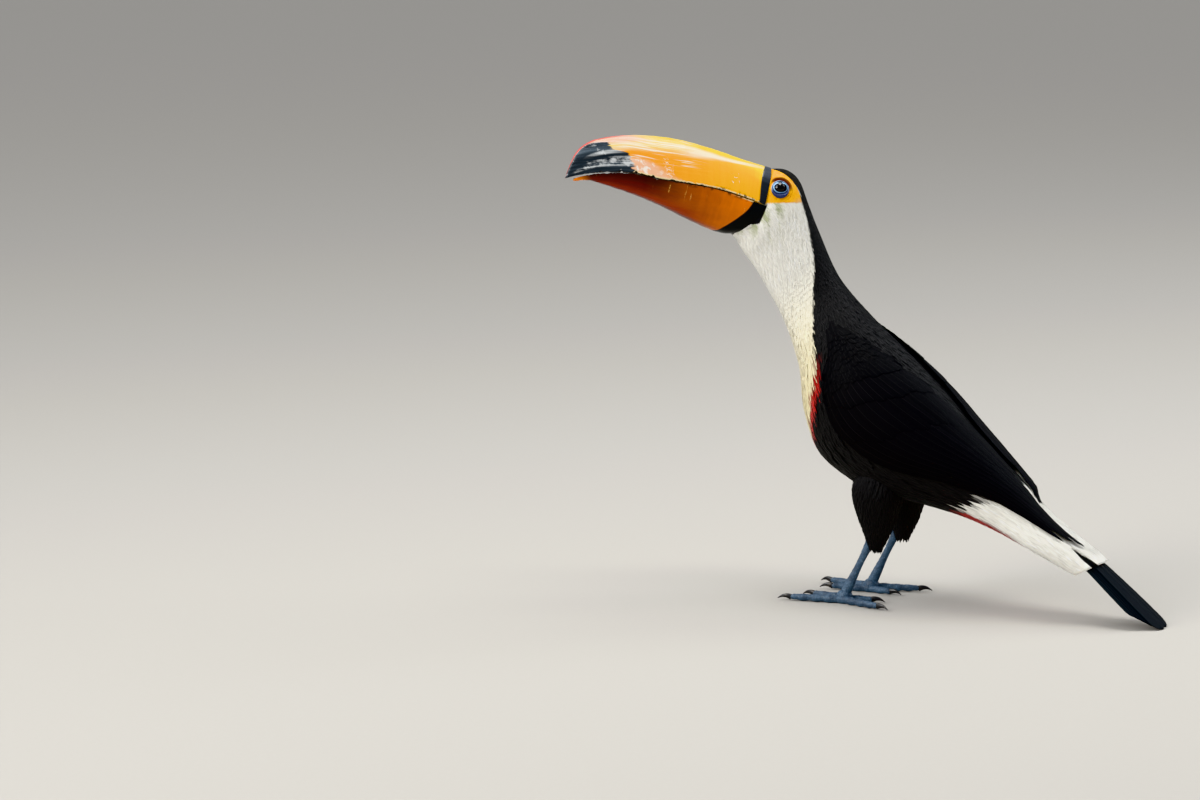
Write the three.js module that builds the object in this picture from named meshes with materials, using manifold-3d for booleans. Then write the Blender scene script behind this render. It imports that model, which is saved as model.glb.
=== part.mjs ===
// A life-size toco toucan (Ramphastos toco), standing alert on the floor with its tail tip resting behind it.
// Millimetres, +Z up. The bird faces -Y, its left side is +X, and the origin lies on the floor under the
// centre of its bounding box. Every shape is first worked out on an upright, symmetric bird; turnHead()
// then turns the bill, head and upper neck about the neck's own axis.
import * as THREE from "three";
import { mergeVertices } from "three/addons/utils/BufferGeometryUtils.js";
import Module from "manifold-3d";

const wasm = await Module();
wasm.setup();

// ---------------------------------------------------------------- driving dimensions
const GAP = 0.35; // free space kept between neighbouring pieces
const FLOOR = 0;

// Body: rings from the bill's base to the tail coverts. Each ring lies in the plane through its ventral
// and dorsal point [y, z]; "half" is its half width, "widest" how far up that width lies (0 ventral to
// 1 dorsal) and "square" the superellipse exponent of its outline.
const RINGS = {
  plug: { ventral: [-110, 288], dorsal: [-100, 318], half: 9, widest: 0.5, square: 2.2 },
  billBase: { ventral: [-98, 277.5], dorsal: [-80, 329], half: 16, widest: 0.45, square: 2.1 },
  face: { ventral: [-94, 271.5], dorsal: [-69, 331.9], half: 20, widest: 0.68, square: 2.2 },
  eye: { ventral: [-89.5, 265.5], dorsal: [-58.5, 331], half: 21.7, widest: 0.66, square: 2.55 },
  crown: { ventral: [-84.5, 259.5], dorsal: [-49, 323.5], half: 22.4, widest: 0.64, square: 2.4 },
  hindhead: { ventral: [-79, 252.5], dorsal: [-41.5, 306.5], half: 22.8, widest: 0.58, square: 2.3 },
  nape: { ventral: [-70, 238], dorsal: [-31, 282.5], half: 24.2, widest: 0.52, square: 2.15 },
  neck: { ventral: [-54.5, 210.5], dorsal: [-13, 247], half: 27, widest: 0.5, square: 2.1 },
  mantle: { ventral: [-40.5, 179.5], dorsal: [15, 219], half: 35.5, widest: 0.5, square: 2.1 },
  shoulder: { ventral: [-35, 144], dorsal: [44, 194], half: 43.5, widest: 0.5, square: 2.1 },
  breast: { ventral: [-20, 111], dorsal: [72, 170], half: 46.5, widest: 0.5, square: 2.1 },
  belly: { ventral: [18, 90], dorsal: [99, 144], half: 44, widest: 0.5, square: 2.1 },
  vent: { ventral: [59, 81], dorsal: [125, 119.5], half: 36.5, widest: 0.54, square: 2.1 },
  rump: { ventral: [103, 71], dorsal: [150, 95.5], half: 28.5, widest: 0.6, square: 2.1 },
  coverts: { ventral: [150, 54], dorsal: [181.3, 69.8], half: 24.5, widest: 0.62, square: 2.1 },
  covertTips: { ventral: [192, 33.5], dorsal: [215.4, 45.4], half: 20, widest: 0.6, square: 2.2 },
};
const ringNumber = (name) => Object.keys(RINGS).indexOf(name);
const HEAD_RING_SEGMENTS = 20;
const BODY_RING_SEGMENTS = 20;

// Where the long body surface is parted, as ring numbers
const HEAD_TO_NECK = ringNumber("nape") - 0.1;
const NECK_TO_TRUNK = ringNumber("mantle") - 0.25;
const TRUNK_TO_COVERTS = ringNumber("rump") - 0.25;
const COVERTS_END = ringNumber("covertTips") - 0.05;
const CUT = 0.012; // half of a parting cut, in ring numbers

// Head turn to the left about an axis up through the neck, growing along the neck's own length
const NECK_LENGTHWISE = new THREE.Vector3(0, -0.5, Math.sqrt(0.75));
const NECK_AXIS_POINT = new THREE.Vector3(0, -45, 235);
const NECK_AXIS_LEAN = THREE.MathUtils.degToRad(12);
const NECK_AXIS = new THREE.Vector3(0, -Math.sin(NECK_AXIS_LEAN), Math.cos(NECK_AXIS_LEAN));
const HEAD_TURN = THREE.MathUtils.degToRad(43);
const TURN_FROM = -44; // place along the neck where the turn begins
const TURN_TO = 38; // and where it is complete

// Bill outlines in the mid plane, [y, z], from the base to the tip
const CULMEN = [[-72, 332.4], [-95, 338.6], [-118, 345.6], [-149, 352.6], [-182, 354.4], [-210, 350.5], [-223.6, 343],
  [-230.4, 332], [-234.8, 319.6]];
const TOMIUM = [[-78.5, 303], [-97, 309], [-117.6, 314.4], [-140, 318], [-163, 321.1], [-182, 325], [-205, 325],
  [-224, 322.4], [-234.8, 319.6]];
const GONYS = [[-84, 284.5], [-98, 281], [-112, 281.8], [-132.5, 289.3], [-157.5, 300.4], [-178.5, 308.3], [-204.5, 316],
  [-216, 318.7], [-228, 317.8]];
const BILL_HALF_WIDTH = [20.6, 20, 18.5, 16.4, 14, 11.3, 8.4, 5.2, 1.3]; // at even steps from base to tip
const LOWER_BILL_NARROWER = 0.98; // the lower bill's width beside the upper's
const RIM_SWEEP = -2; // how far the bill's rim lies further back at its sides than at its middle
const MOUTH_GAP = 0.9;
const LOWER_TIP = [-228, 319.4];

// Eyes
const EYE_CENTRE = new THREE.Vector3(16.9, -68.2, 316.6);
const EYE_RADIUS = 6.2;
const ORBIT_CENTRE = new THREE.Vector3(19.2, -68.2, 315.4);
const ORBIT_RADII = [3.3, 7.1, 6.9]; // across, fore and aft, up and down

// Tail: the top of the stack of feathers follows an arc from the root to the tip on the floor
const TAIL_ROOT = [138.5, 99.5];
const TAIL_LENGTH = 158;
const TAIL_PITCH_ROOT = THREE.MathUtils.degToRad(36.6);
const TAIL_PITCH_TIP = THREE.MathUtils.degToRad(40.7);
const TAIL_PAIRS = 5;
const TAIL_FEATHER_THICKNESS = 0.8;
const TAIL_LAYER = TAIL_FEATHER_THICKNESS + 0.3;
const TAIL_CAMBER = 180; // radius of the roof shape across the tail
const TAIL_GRADUATION = 4.5; // each pair is this much shorter than the pair above it

// Wings: patches that follow the body surface, from the wrist to the wing tip
const WING = {
  wrist: ringNumber("mantle") - 0.1,
  fold: ringNumber("belly") + 0.3, // where the coverts end and the flight feathers go on alone
  tip: { left: ringNumber("coverts") + 0.42, right: ringNumber("coverts") - 0.1 },
  lowerEdge: [112, 84, 77, 80, 90, 105, 118, 130], // degrees round the body from the breast, wrist to tip
  upperEdge: [128, 150, 163, 170, 172, 172, 171, 169],
  tipTurn: 3, // degrees that the left tip lies higher on the back, and the right tip lower
  turnFrom: 0.6, // where along the wing that begins
  thickness: [3, 6.5, 7, 6.4, 5.2, 4, 2.8, 1.6],
};
const WING_CLEARANCE = 0.5; // between the wing and the body
const WING_INSET = -1.5; // the wing is first made this deep, then the body is cut from it

// Legs
const HIP_SPREAD = 25; // the legs' distance from the mid plane
const THIGH_LINE = [[36, 112], [34, 84], [34, 62], [33, 46]]; // [y, z] from the hip to below the ankle
const THIGH_RADII = [15, 20.5, 15, 6.2];
const THIGH_FLATNESS = 0.8;
const ANKLE = [33.5, 57]; // the shank's top, inside the thigh's feathers
const FOOT = [7, 8];
const TARSUS_RADIUS = 3.6;
const TOES = {
  inner_front: { length: 31, turn: 8, start: 3.9, radius: 3.5, joints: 3 },
  outer_front: { length: 42, turn: -12, start: -3.9, radius: 3.6, joints: 4 },
  outer_rear: { length: 37, turn: -163, start: -3.9, radius: 3.5, joints: 4 },
  inner_rear: { length: 21, turn: 169, start: 3.7, radius: 3.3, joints: 2 },
}; // turn: degrees from straight ahead; turn and start are positive towards the mid plane
const CLAW_LENGTH = 11;
const CLAW_RADIUS = 2.3;

const COLOURS = {
  bill_orange: [0xf59a12, 0.32],
  bill_lower: [0xd9640f, 0.34],
  plumage_white: [0xe9e8da, 0.75],
  plumage_black: [0x14141a, 0.6],
  plumage_red: [0xb8231c, 0.7],
  face_skin: [0xf08a10, 0.55],
  orbit_blue: [0x3c5cc4, 0.45],
  eye_dark: [0x120d10, 0.08],
  leg_blue: [0x6f86a0, 0.6],
  claw_horn: [0x2a2a30, 0.4],
};

// ---------------------------------------------------------------- small helpers
const lerp = THREE.MathUtils.lerp;
const clamp = THREE.MathUtils.clamp;
const smoothstep = THREE.MathUtils.smoothstep;
const radians = THREE.MathUtils.degToRad;

// Catmull-Rom value at position u of an evenly spaced list of numbers.
function spline(values, u) {
  const last = values.length - 1;
  const i = Math.min(Math.max(Math.floor(u), 0), last - 1);
  const t = u - i;
  const at = (k) =>
    k < 0 ? 2 * values[0] - values[1] : k > last ? 2 * values[last] - values[last - 1] : values[k];
  const [a, b, c, d] = [at(i - 1), at(i), at(i + 1), at(i + 2)];
  return b + 0.5 * t * (c - a + t * (2 * a - 5 * b + 4 * c - d + t * (3 * (b - c) + d - a)));
}

// Point at fraction t of the length of the smooth curve through a list of [y, z] points.
function alongCurve(points, t) {
  const steps = 240;
  const last = points.length - 1;
  const ys = points.map((p) => p[0]);
  const zs = points.map((p) => p[1]);
  const sample = Array.from({ length: steps + 1 }, (_, k) => {
    const u = (k / steps) * last;
    return [spline(ys, u), spline(zs, u)];
  });
  const length = [0];
  for (let k = 1; k <= steps; k++)
    length.push(length[k - 1] + Math.hypot(sample[k][0] - sample[k - 1][0], sample[k][1] - sample[k - 1][1]));
  const wanted = clamp(t, 0, 1) * length[steps];
  const k = Math.min(Math.max(length.findIndex((l) => l >= wanted), 1), steps);
  const f = (wanted - length[k - 1]) / (length[k] - length[k - 1]);
  return [lerp(sample[k - 1][0], sample[k][0], f), lerp(sample[k - 1][1], sample[k][1], f)];
}

// Signed power, for superellipses.
function bend(value, exponent) {
  return Math.sign(value) * Math.abs(value) ** exponent;
}

// Turns a point of the upright bird to its place in the pose.
function turnHead(p) {
  const rel = p.clone().sub(NECK_AXIS_POINT);
  const share = smoothstep(rel.dot(NECK_LENGTHWISE), TURN_FROM, TURN_TO);
  return rel.applyAxisAngle(NECK_AXIS, HEAD_TURN * share).add(NECK_AXIS_POINT);
}

// A geometry from vertices and triangles.
function geometryOf(vertices, triangles) {
  const geometry = new THREE.BufferGeometry();
  geometry.setAttribute("position", new THREE.Float32BufferAttribute(vertices.flatMap((v) => [v.x, v.y, v.z]), 3));
  geometry.setIndex(triangles);
  return geometry;
}

// A closed solid from rings of equal size; the first and last rings are closed with a fan.
function loft(rings) {
  const size = rings[0].length;
  const vertices = rings.flat();
  const triangles = [];
  for (let i = 0; i + 1 < rings.length; i++)
    for (let j = 0; j < size; j++) {
      const k = (j + 1) % size;
      const [a, b, c, d] = [i * size + j, i * size + k, (i + 1) * size + j, (i + 1) * size + k];
      triangles.push(a, b, d, a, d, c);
    }
  const cap = (ring, start, flip) => {
    const centre = ring.reduce((sum, p) => sum.add(p), new THREE.Vector3()).divideScalar(size);
    vertices.push(centre);
    const hub = vertices.length - 1;
    for (let j = 0; j < size; j++) {
      const k = (j + 1) % size;
      triangles.push(...(flip ? [hub, start + j, start + k] : [hub, start + k, start + j]));
    }
  };
  cap(rings[0], 0, false);
  cap(rings[rings.length - 1], (rings.length - 1) * size, true);
  return geometryOf(vertices, triangles);
}

// A closed thin panel between an outer and an inner surface, each a function of (a, b) in 0..1.
function panel(outer, inner, alongCount, acrossCount) {
  const rings = [];
  for (let i = 0; i <= alongCount; i++) {
    const a = i / alongCount;
    const ring = [];
    for (let j = 0; j <= acrossCount; j++) ring.push(outer(a, j / acrossCount));
    for (let j = acrossCount; j >= 0; j--) ring.push(inner(a, j / acrossCount));
    rings.push(ring);
  }
  return loft(rings);
}

// A tube of changing radius along points, as rings square to the path.
function taperedTube(path, radii, segments) {
  const rings = path.map((p, i) => {
    const ahead = path[Math.min(i + 1, path.length - 1)].clone().sub(path[Math.max(i - 1, 0)]).normalize();
    const side = new THREE.Vector3().crossVectors(ahead, Math.abs(ahead.x) > 0.9 ? new THREE.Vector3(0, 0, 1) : new THREE.Vector3(1, 0, 0)).normalize();
    const up = new THREE.Vector3().crossVectors(side, ahead);
    return Array.from({ length: segments }, (_, j) => {
      const angle = (2 * Math.PI * j) / segments;
      return p.clone().addScaledVector(side, radii[i] * Math.cos(angle)).addScaledVector(up, radii[i] * Math.sin(angle));
    });
  });
  return loft(rings);
}

// Solids for cutting and joining: facing out, whichever way the rings ran.
function solidOf(geometry) {
  const bare = geometry.clone();
  bare.deleteAttribute("normal");
  bare.deleteAttribute("uv");
  const merged = mergeVertices(bare, 1e-3);
  const triangles = new Uint32Array(merged.index.array);
  const build = () =>
    new wasm.Manifold(new wasm.Mesh({ numProp: 3, vertProperties: new Float32Array(merged.attributes.position.array), triVerts: triangles }));
  const made = build();
  if (made.volume() > 0) return made;
  for (let i = 0; i < triangles.length; i += 3) [triangles[i + 1], triangles[i + 2]] = [triangles[i + 2], triangles[i + 1]];
  return build();
}

// The geometry of a solid.
function geometryFrom(solid) {
  const mesh = solid.getMesh();
  const vertices = [];
  for (let i = 0; i < mesh.numVert; i++)
    vertices.push(new THREE.Vector3().fromArray(mesh.vertProperties, i * mesh.numProp));
  return geometryOf(vertices, Array.from(mesh.triVerts));
}

// The largest single body of a solid: cuts can leave crumbs.
function mainBody(solid) {
  return solid.decompose().reduce((best, b) => (b.volume() > best.volume() ? b : best));
}

// Everything under the floor, for trimming flat soles and tail tips.
const underFloor = solidOf(new THREE.BoxGeometry(900, 900, 100).translate(0, 0, FLOOR - 50));

// ---------------------------------------------------------------- body surface
const ringNames = Object.keys(RINGS);
const column = (pick) => ringNames.map((name) => pick(RINGS[name]));
const ringColumns = {
  ventralY: column((r) => r.ventral[0]),
  ventralZ: column((r) => r.ventral[1]),
  dorsalY: column((r) => r.dorsal[0]),
  dorsalZ: column((r) => r.dorsal[1]),
  half: column((r) => r.half),
  widest: column((r) => r.widest),
  square: column((r) => r.square),
};

// Point on the body: u is the ring number, angle runs from the breast (0) over the left side (90 degrees)
// to the back (180), and grow moves the surface out. Each ring is two half superellipses that meet at its
// widest height.
function bodyPoint(u, angle, grow = 0) {
  const at = (name) => spline(ringColumns[name], u);
  const ventral = new THREE.Vector3(0, at("ventralY"), at("ventralZ"));
  const dorsal = new THREE.Vector3(0, at("dorsalY"), at("dorsalZ"));
  const up = dorsal.clone().sub(ventral);
  const height = up.length();
  up.normalize();
  const power = 2 / at("square");
  const lift = -Math.cos(angle);
  const reach = (lift < 0 ? at("widest") : 1 - at("widest")) * height + grow;
  return ventral
    .addScaledVector(up, at("widest") * height + reach * bend(lift, power))
    .add(new THREE.Vector3((at("half") + grow) * bend(Math.sin(angle), power), 0, 0));
}

// A length of the body between two ring numbers, as a solid of the upright bird.
function bodyLength(from, to, steps, segments, grow = 0) {
  const rings = [];
  for (let i = 0; i <= steps; i++) {
    const u = lerp(from, to, i / steps);
    rings.push(Array.from({ length: segments }, (_, j) => bodyPoint(u, (2 * Math.PI * (j + 0.5)) / segments, grow)));
  }
  return loft(rings);
}

// ---------------------------------------------------------------- bill
// Point on a bill half: t runs from base to tip, angle from one cutting edge over the ridge to the other,
// and ridge is the outline (culmen or gonys) that the arch rises or sinks to from the cutting edge.
function billPoint(t, angle, edge, ridge, widthScale, fullness) {
  const [edgeY, edgeZ] = edge(t);
  const [ridgeY, ridgeZ] = ridge(t);
  const half = spline(BILL_HALF_WIDTH, t * (BILL_HALF_WIDTH.length - 1)) * widthScale;
  const across = bend(Math.cos(angle), 2 / fullness);
  const rise = Math.abs(Math.sin(angle)) ** (2 / 2.1);
  const sweep = RIM_SWEEP * across ** 2 * (1 - smoothstep(t, 0, 0.35));
  return new THREE.Vector3(half * across, lerp(edgeY, ridgeY, rise) + sweep, lerp(edgeZ, ridgeZ, rise));
}

// A bill half as a solid: arch rings, closed straight across between the cutting edges.
function billHalf(edge, ridge, widthScale, fullness, steps, segments) {
  const rings = [];
  for (let i = 0; i <= steps; i++) {
    const t = 0.995 * Math.sin((Math.PI / 2) * (i / steps)) ** 1.15;
    rings.push(Array.from({ length: segments + 1 }, (_, j) => billPoint(t, (Math.PI * j) / segments, edge, ridge, widthScale, fullness)));
  }
  return loft(rings);
}

const upperEdge = (t) => alongCurve(TOMIUM, t);
const culmen = (t) => alongCurve(CULMEN, t);
const gonys = (t) => alongCurve(GONYS, t);
// The lower bill's cutting edge runs under the upper's, and ends at the lower tip.
function lowerEdge(t) {
  const [y, z] = alongCurve(TOMIUM, t * 0.965);
  const toTip = smoothstep(t, 0.88, 1);
  return [lerp(y, LOWER_TIP[0], toTip), lerp(z - MOUTH_GAP, LOWER_TIP[1], toTip)];
}

// ---------------------------------------------------------------- tail
// Point on the tail: distance from the root along the arc, sideways place, and depth under the top layer.
function tailPoint(distance, across, depth) {
  const share = distance / TAIL_LENGTH;
  const pitch = lerp(TAIL_PITCH_ROOT, TAIL_PITCH_TIP, share / 2); // mean pitch up to here
  const here = lerp(TAIL_PITCH_ROOT, TAIL_PITCH_TIP, share);
  const drop = depth + across ** 2 / (2 * TAIL_CAMBER);
  return new THREE.Vector3(
    across,
    TAIL_ROOT[0] + distance * Math.cos(pitch) - drop * Math.sin(here),
    TAIL_ROOT[1] - distance * Math.sin(pitch) - drop * Math.cos(here),
  );
}

// Half width of a tail feather at fraction a of its length: narrow root, parallel vane, round tip.
function vaneHalfWidth(a, widest) {
  const opening = lerp(0.22, 1, smoothstep(a, 0, 0.5));
  const rounding = Math.sqrt(Math.max(1 - Math.max((a - 0.94) / 0.06, 0) ** 2, 0.12));
  return widest * opening * rounding;
}

function tailFeather(side, pair) {
  const central = pair === 1;
  const layer = central ? (side > 0 ? 0 : 1) : pair;
  const length = TAIL_LENGTH - (pair - 1) * TAIL_GRADUATION - (central && side < 0 ? 1 : 0);
  const widest = central ? 12 : 9.5;
  const middle = central ? 4.6 : 9.2 + (pair - 2);
  const surface = (depth) => (a, b) => {
    const spread = lerp(0.35, 1, smoothstep(a, 0, 0.6));
    const across = middle * spread + vaneHalfWidth(a, widest) * (2 * b - 1);
    return tailPoint(2 + (length - 2) * a, side * (central ? across : Math.max(across, GAP)), depth);
  };
  const top = layer * TAIL_LAYER;
  return solidOf(panel(surface(top), surface(top + TAIL_FEATHER_THICKNESS), 8, 2)).subtract(underFloor);
}

// The room that the tail needs inside the coverts.
function tailRoom() {
  const depth = 6 * TAIL_LAYER;
  const surface = (d) => (a, b) => tailPoint(lerp(-2, TAIL_LENGTH * 0.7, a), lerp(-1, 1, b) * lerp(11, 24, smoothstep(a, 0, 0.42)), d);
  return solidOf(panel(surface(-0.6), surface(depth), 5, 4));
}

// ---------------------------------------------------------------- wings
// Point on a wing, told as if it were the left one: a from wrist to tip, b from its lower to its upper edge,
// grow above the body.
function wingPoint(name, side, a, b, grow) {
  const last = WING.lowerEdge.length - 1;
  const turn = side * WING.tipTurn * smoothstep(a, WING.turnFrom, 1);
  const angle = lerp(spline(WING.lowerEdge, a * last), spline(WING.upperEdge, a * last), b) + turn;
  return bodyPoint(lerp(WING.wrist, WING.tip[name], a), radians(angle), grow);
}

function wingPanel(name, side, from, to, fullness, steps) {
  const mirror = (p) => new THREE.Vector3(side * p.x, p.y, p.z);
  const at = (a) => lerp(from, to, a);
  const last = WING.thickness.length - 1;
  const outer = (a, b) =>
    mirror(wingPoint(name, side, at(a), b, WING_CLEARANCE + fullness * spline(WING.thickness, at(a) * last) * (0.25 + 0.75 * Math.sqrt(Math.sin(Math.PI * clamp(b, 0.02, 0.98))))));
  const inner = (a, b) => mirror(wingPoint(name, side, at(a), b, WING_INSET));
  return mainBody(solidOf(panel(outer, inner, steps, 4)).subtract(bodyRoom));
}

// ---------------------------------------------------------------- legs
function onLeg(side, [y, z]) {
  return new THREE.Vector3(side * HIP_SPREAD, y, z);
}

// The feathered thigh, flattened from side to side.
function thigh(side) {
  const steps = 6;
  const last = THIGH_RADII.length - 1;
  const points = Array.from({ length: steps + 1 }, (_, i) => onLeg(side, alongCurve(THIGH_LINE, i / steps)));
  const tube = taperedTube(points, points.map((_, i) => spline(THIGH_RADII, (i / steps) * last)), 10);
  return solidOf(tube.translate(-side * HIP_SPREAD, 0, 0).scale(THIGH_FLATNESS, 1, 1).translate(side * HIP_SPREAD, 0, 0));
}

// The bare shank, thicker at the ankle and at the foot.
function tarsus(side, grow = 0) {
  const steps = 4;
  const points = Array.from({ length: steps + 1 }, (_, i) => onLeg(side, [0, 1].map((k) => lerp(ANKLE[k], FOOT[k], i / steps))));
  const radii = points.map((_, i) => TARSUS_RADIUS * (1 + 0.22 * Math.cos((2 * Math.PI * i) / steps)) + grow);
  return solidOf(taperedTube(points, radii, 8));
}

// The pad under the tarsus that the four toes grow from.
function footPad(side) {
  return solidOf(new THREE.SphereGeometry(1, 8, 6).scale(6.2, 6.6, 5.6).translate(side * HIP_SPREAD, FOOT[0], 5));
}

// Middle line of a toe: along the floor, out from the foot.
function toePath(side, toe, distance) {
  const turn = radians(toe.turn) * -side;
  const x = side * (HIP_SPREAD - toe.start) + Math.sin(turn) * distance;
  return new THREE.Vector3(x, FOOT[0] - Math.cos(turn) * distance, toe.radius * 0.86);
}

// A toe: a tube with a swelling at each joint, flat where it rests on the floor.
function toeSolid(side, toe, grow = 0) {
  const steps = toe.joints * 2;
  const points = Array.from({ length: steps + 1 }, (_, i) => toePath(side, toe, lerp(1.5, toe.length, i / steps)));
  const radii = points.map((_, i) => {
    const a = i / steps;
    return toe.radius * lerp(1, 0.72, a) * (1 + 0.09 * Math.cos(2 * Math.PI * toe.joints * a)) * (a > 0.97 ? 0.8 : 1);
  });
  points.forEach((p, i) => (p.z = radii[i] * 0.86));
  return solidOf(taperedTube(points, radii.map((r) => r + grow), 6)).subtract(underFloor);
}

// A claw: a cone bent down to the floor in front of its toe.
function clawSolid(side, toe) {
  const steps = 4;
  const start = toe.length - 0.8;
  const points = Array.from({ length: steps + 1 }, (_, i) => {
    const a = i / steps;
    const p = toePath(side, toe, start + CLAW_LENGTH * a);
    p.z = 2.7 + 1.6 * Math.sin(Math.PI * a * 0.8) - 2.9 * a ** 2;
    return p;
  });
  const radii = points.map((_, i) => CLAW_RADIUS * (1 - 0.86 * (i / steps) ** 1.3));
  return solidOf(taperedTube(points, radii, 6)).subtract(underFloor).subtract(toeSolid(side, toe, GAP));
}

// ---------------------------------------------------------------- assembly
const bird = new THREE.Group();

function addPiece(name, solid, colour) {
  const upright = geometryFrom(solid);
  const place = upright.attributes.position;
  for (let i = 0; i < place.count; i++) {
    const p = turnHead(new THREE.Vector3().fromBufferAttribute(place, i));
    place.setXYZ(i, p.x, p.y, p.z);
  }
  const [hex, roughness] = COLOURS[colour];
  const mesh = new THREE.Mesh(upright, new THREE.MeshStandardMaterial({ color: hex, roughness, metalness: 0 }));
  mesh.name = name;
  bird.add(mesh);
}

const sides = [["left", 1], ["right", -1]];
const mirrored = (v, side) => new THREE.Vector3(side * v.x, v.y, v.z);

// Eyes and their bare blue rings
function eyeball(side, grow = 0) {
  const c = mirrored(EYE_CENTRE, side);
  return solidOf(new THREE.SphereGeometry(EYE_RADIUS + grow, 9, 6).translate(c.x, c.y, c.z));
}
function orbit(side, grow = 0) {
  const c = mirrored(ORBIT_CENTRE, side);
  const [x, y, z] = ORBIT_RADII.map((r) => r + grow);
  return solidOf(new THREE.SphereGeometry(1, 11, 7).scale(x, y, z).translate(c.x, c.y, c.z));
}

// Head, neck and trunk
const headShape = (grow) => solidOf(bodyLength(0, HEAD_TO_NECK - CUT, 10, HEAD_RING_SEGMENTS, grow));
let head = headShape(0);
for (const [, side] of sides) head = head.subtract(orbit(side, GAP)).subtract(eyeball(side, GAP));
addPiece("head", mainBody(head), "plumage_white");
addPiece("neck", solidOf(bodyLength(HEAD_TO_NECK + CUT, NECK_TO_TRUNK - CUT, 6, HEAD_RING_SEGMENTS)), "plumage_white");
const tailSpace = tailRoom();
const trunkRoom = solidOf(bodyLength(NECK_TO_TRUNK, TRUNK_TO_COVERTS, 10, BODY_RING_SEGMENTS, WING_CLEARANCE));
const sleeveRoom = solidOf(bodyLength(TRUNK_TO_COVERTS - 0.02, COVERTS_END, 6, BODY_RING_SEGMENTS, WING_CLEARANCE));
const bodyRoom = trunkRoom.add(sleeveRoom);
const trunk = solidOf(bodyLength(NECK_TO_TRUNK + CUT, TRUNK_TO_COVERTS - CUT, 10, BODY_RING_SEGMENTS));
addPiece("trunk", mainBody(trunk.subtract(tailSpace)), "plumage_black");

// Tail coverts: one sleeve round the tail's root, parted into white above and red below
const sleeve = solidOf(bodyLength(TRUNK_TO_COVERTS + CUT, COVERTS_END, 6, BODY_RING_SEGMENTS)).subtract(tailSpace);
const underCut = (d0, d1) =>
  solidOf(panel((a, b) => tailPoint(lerp(-40, 120, a), lerp(-60, 60, b) , d0), (a, b) => tailPoint(lerp(-40, 120, a), lerp(-60, 60, b), d1), 6, 2));
const belowCoverts = 14;
addPiece("upper_tail_coverts", mainBody(sleeve.subtract(underCut(belowCoverts, 90))), "plumage_white");
addPiece("under_tail_coverts", mainBody(sleeve.subtract(underCut(-60, belowCoverts + GAP))), "plumage_red");

// Bill, its base hollowed for the front of the head
const headRoom = headShape(GAP);
addPiece("bill_upper", mainBody(billHalf_upper().subtract(headRoom)), "bill_orange");
addPiece("bill_lower", mainBody(billHalf_lower().subtract(headRoom)), "bill_lower");
function billHalf_upper() {
  return solidOf(billHalf(upperEdge, culmen, 1, 2.5, 14, 12));
}
function billHalf_lower() {
  return solidOf(billHalf(lowerEdge, gonys, LOWER_BILL_NARROWER, 2.9, 13, 10));
}

for (const [name, side] of sides) {
  addPiece(`eye_${name}`, eyeball(side), "eye_dark");
  addPiece(`orbital_ring_${name}`, mainBody(orbit(side).subtract(eyeball(side, GAP))), "orbit_blue");
  const foldAt = (WING.fold - WING.wrist) / (WING.tip[name] - WING.wrist);
  addPiece(`wing_coverts_${name}`, wingPanel(name, side, 0, foldAt - 0.002, 1, 7), "plumage_black");
  addPiece(`wing_flights_${name}`, wingPanel(name, side, foldAt + 0.002, 1, 0.72, 7), "plumage_black");
}

// Tail feathers
for (const [name, side] of sides)
  for (let pair = 1; pair <= TAIL_PAIRS; pair++) addPiece(`tail_feather_${name}_${pair}`, mainBody(tailFeather(side, pair)), "plumage_black");

// Legs
for (const [name, side] of sides) {
  const pad = footPad(side).subtract(underFloor);
  const shank = tarsus(side);
  const above = onLeg(side, [ANKLE[0] + 1.2, ANKLE[1] + 2]);
  const shankRoom = solidOf(taperedTube([above, onLeg(side, FOOT)], [TARSUS_RADIUS * 1.22 + GAP, TARSUS_RADIUS * 1.22 + GAP], 10));
  addPiece(`thigh_${name}`, mainBody(thigh(side).subtract(trunkRoom).subtract(shankRoom)), "plumage_black");
  addPiece(`tarsus_${name}`, mainBody(shank.add(pad)), "leg_blue");
  const padRoom = solidOf(new THREE.SphereGeometry(1, 8, 6).scale(6.2 + GAP, 6.6 + GAP, 5.6 + GAP).translate(side * HIP_SPREAD, FOOT[0], 5));
  for (const [toeName, toe] of Object.entries(TOES)) {
    addPiece(`toe_${toeName}_${name}`, mainBody(toeSolid(side, toe).subtract(padRoom)), "leg_blue");
    addPiece(`claw_${toeName}_${name}`, mainBody(clawSolid(side, toe)), "claw_horn");
  }
}

// The origin goes under the middle of the bounding box.
const box = new THREE.Box3().setFromObject(bird);
bird.position.set(-(box.min.x + box.max.x) / 2, -(box.min.y + box.max.y) / 2, -box.min.z);

export default bird;
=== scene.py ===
"""A life-size toco toucan in full plumage over the packed CAD part. Run it in Blender as a script."""

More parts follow.
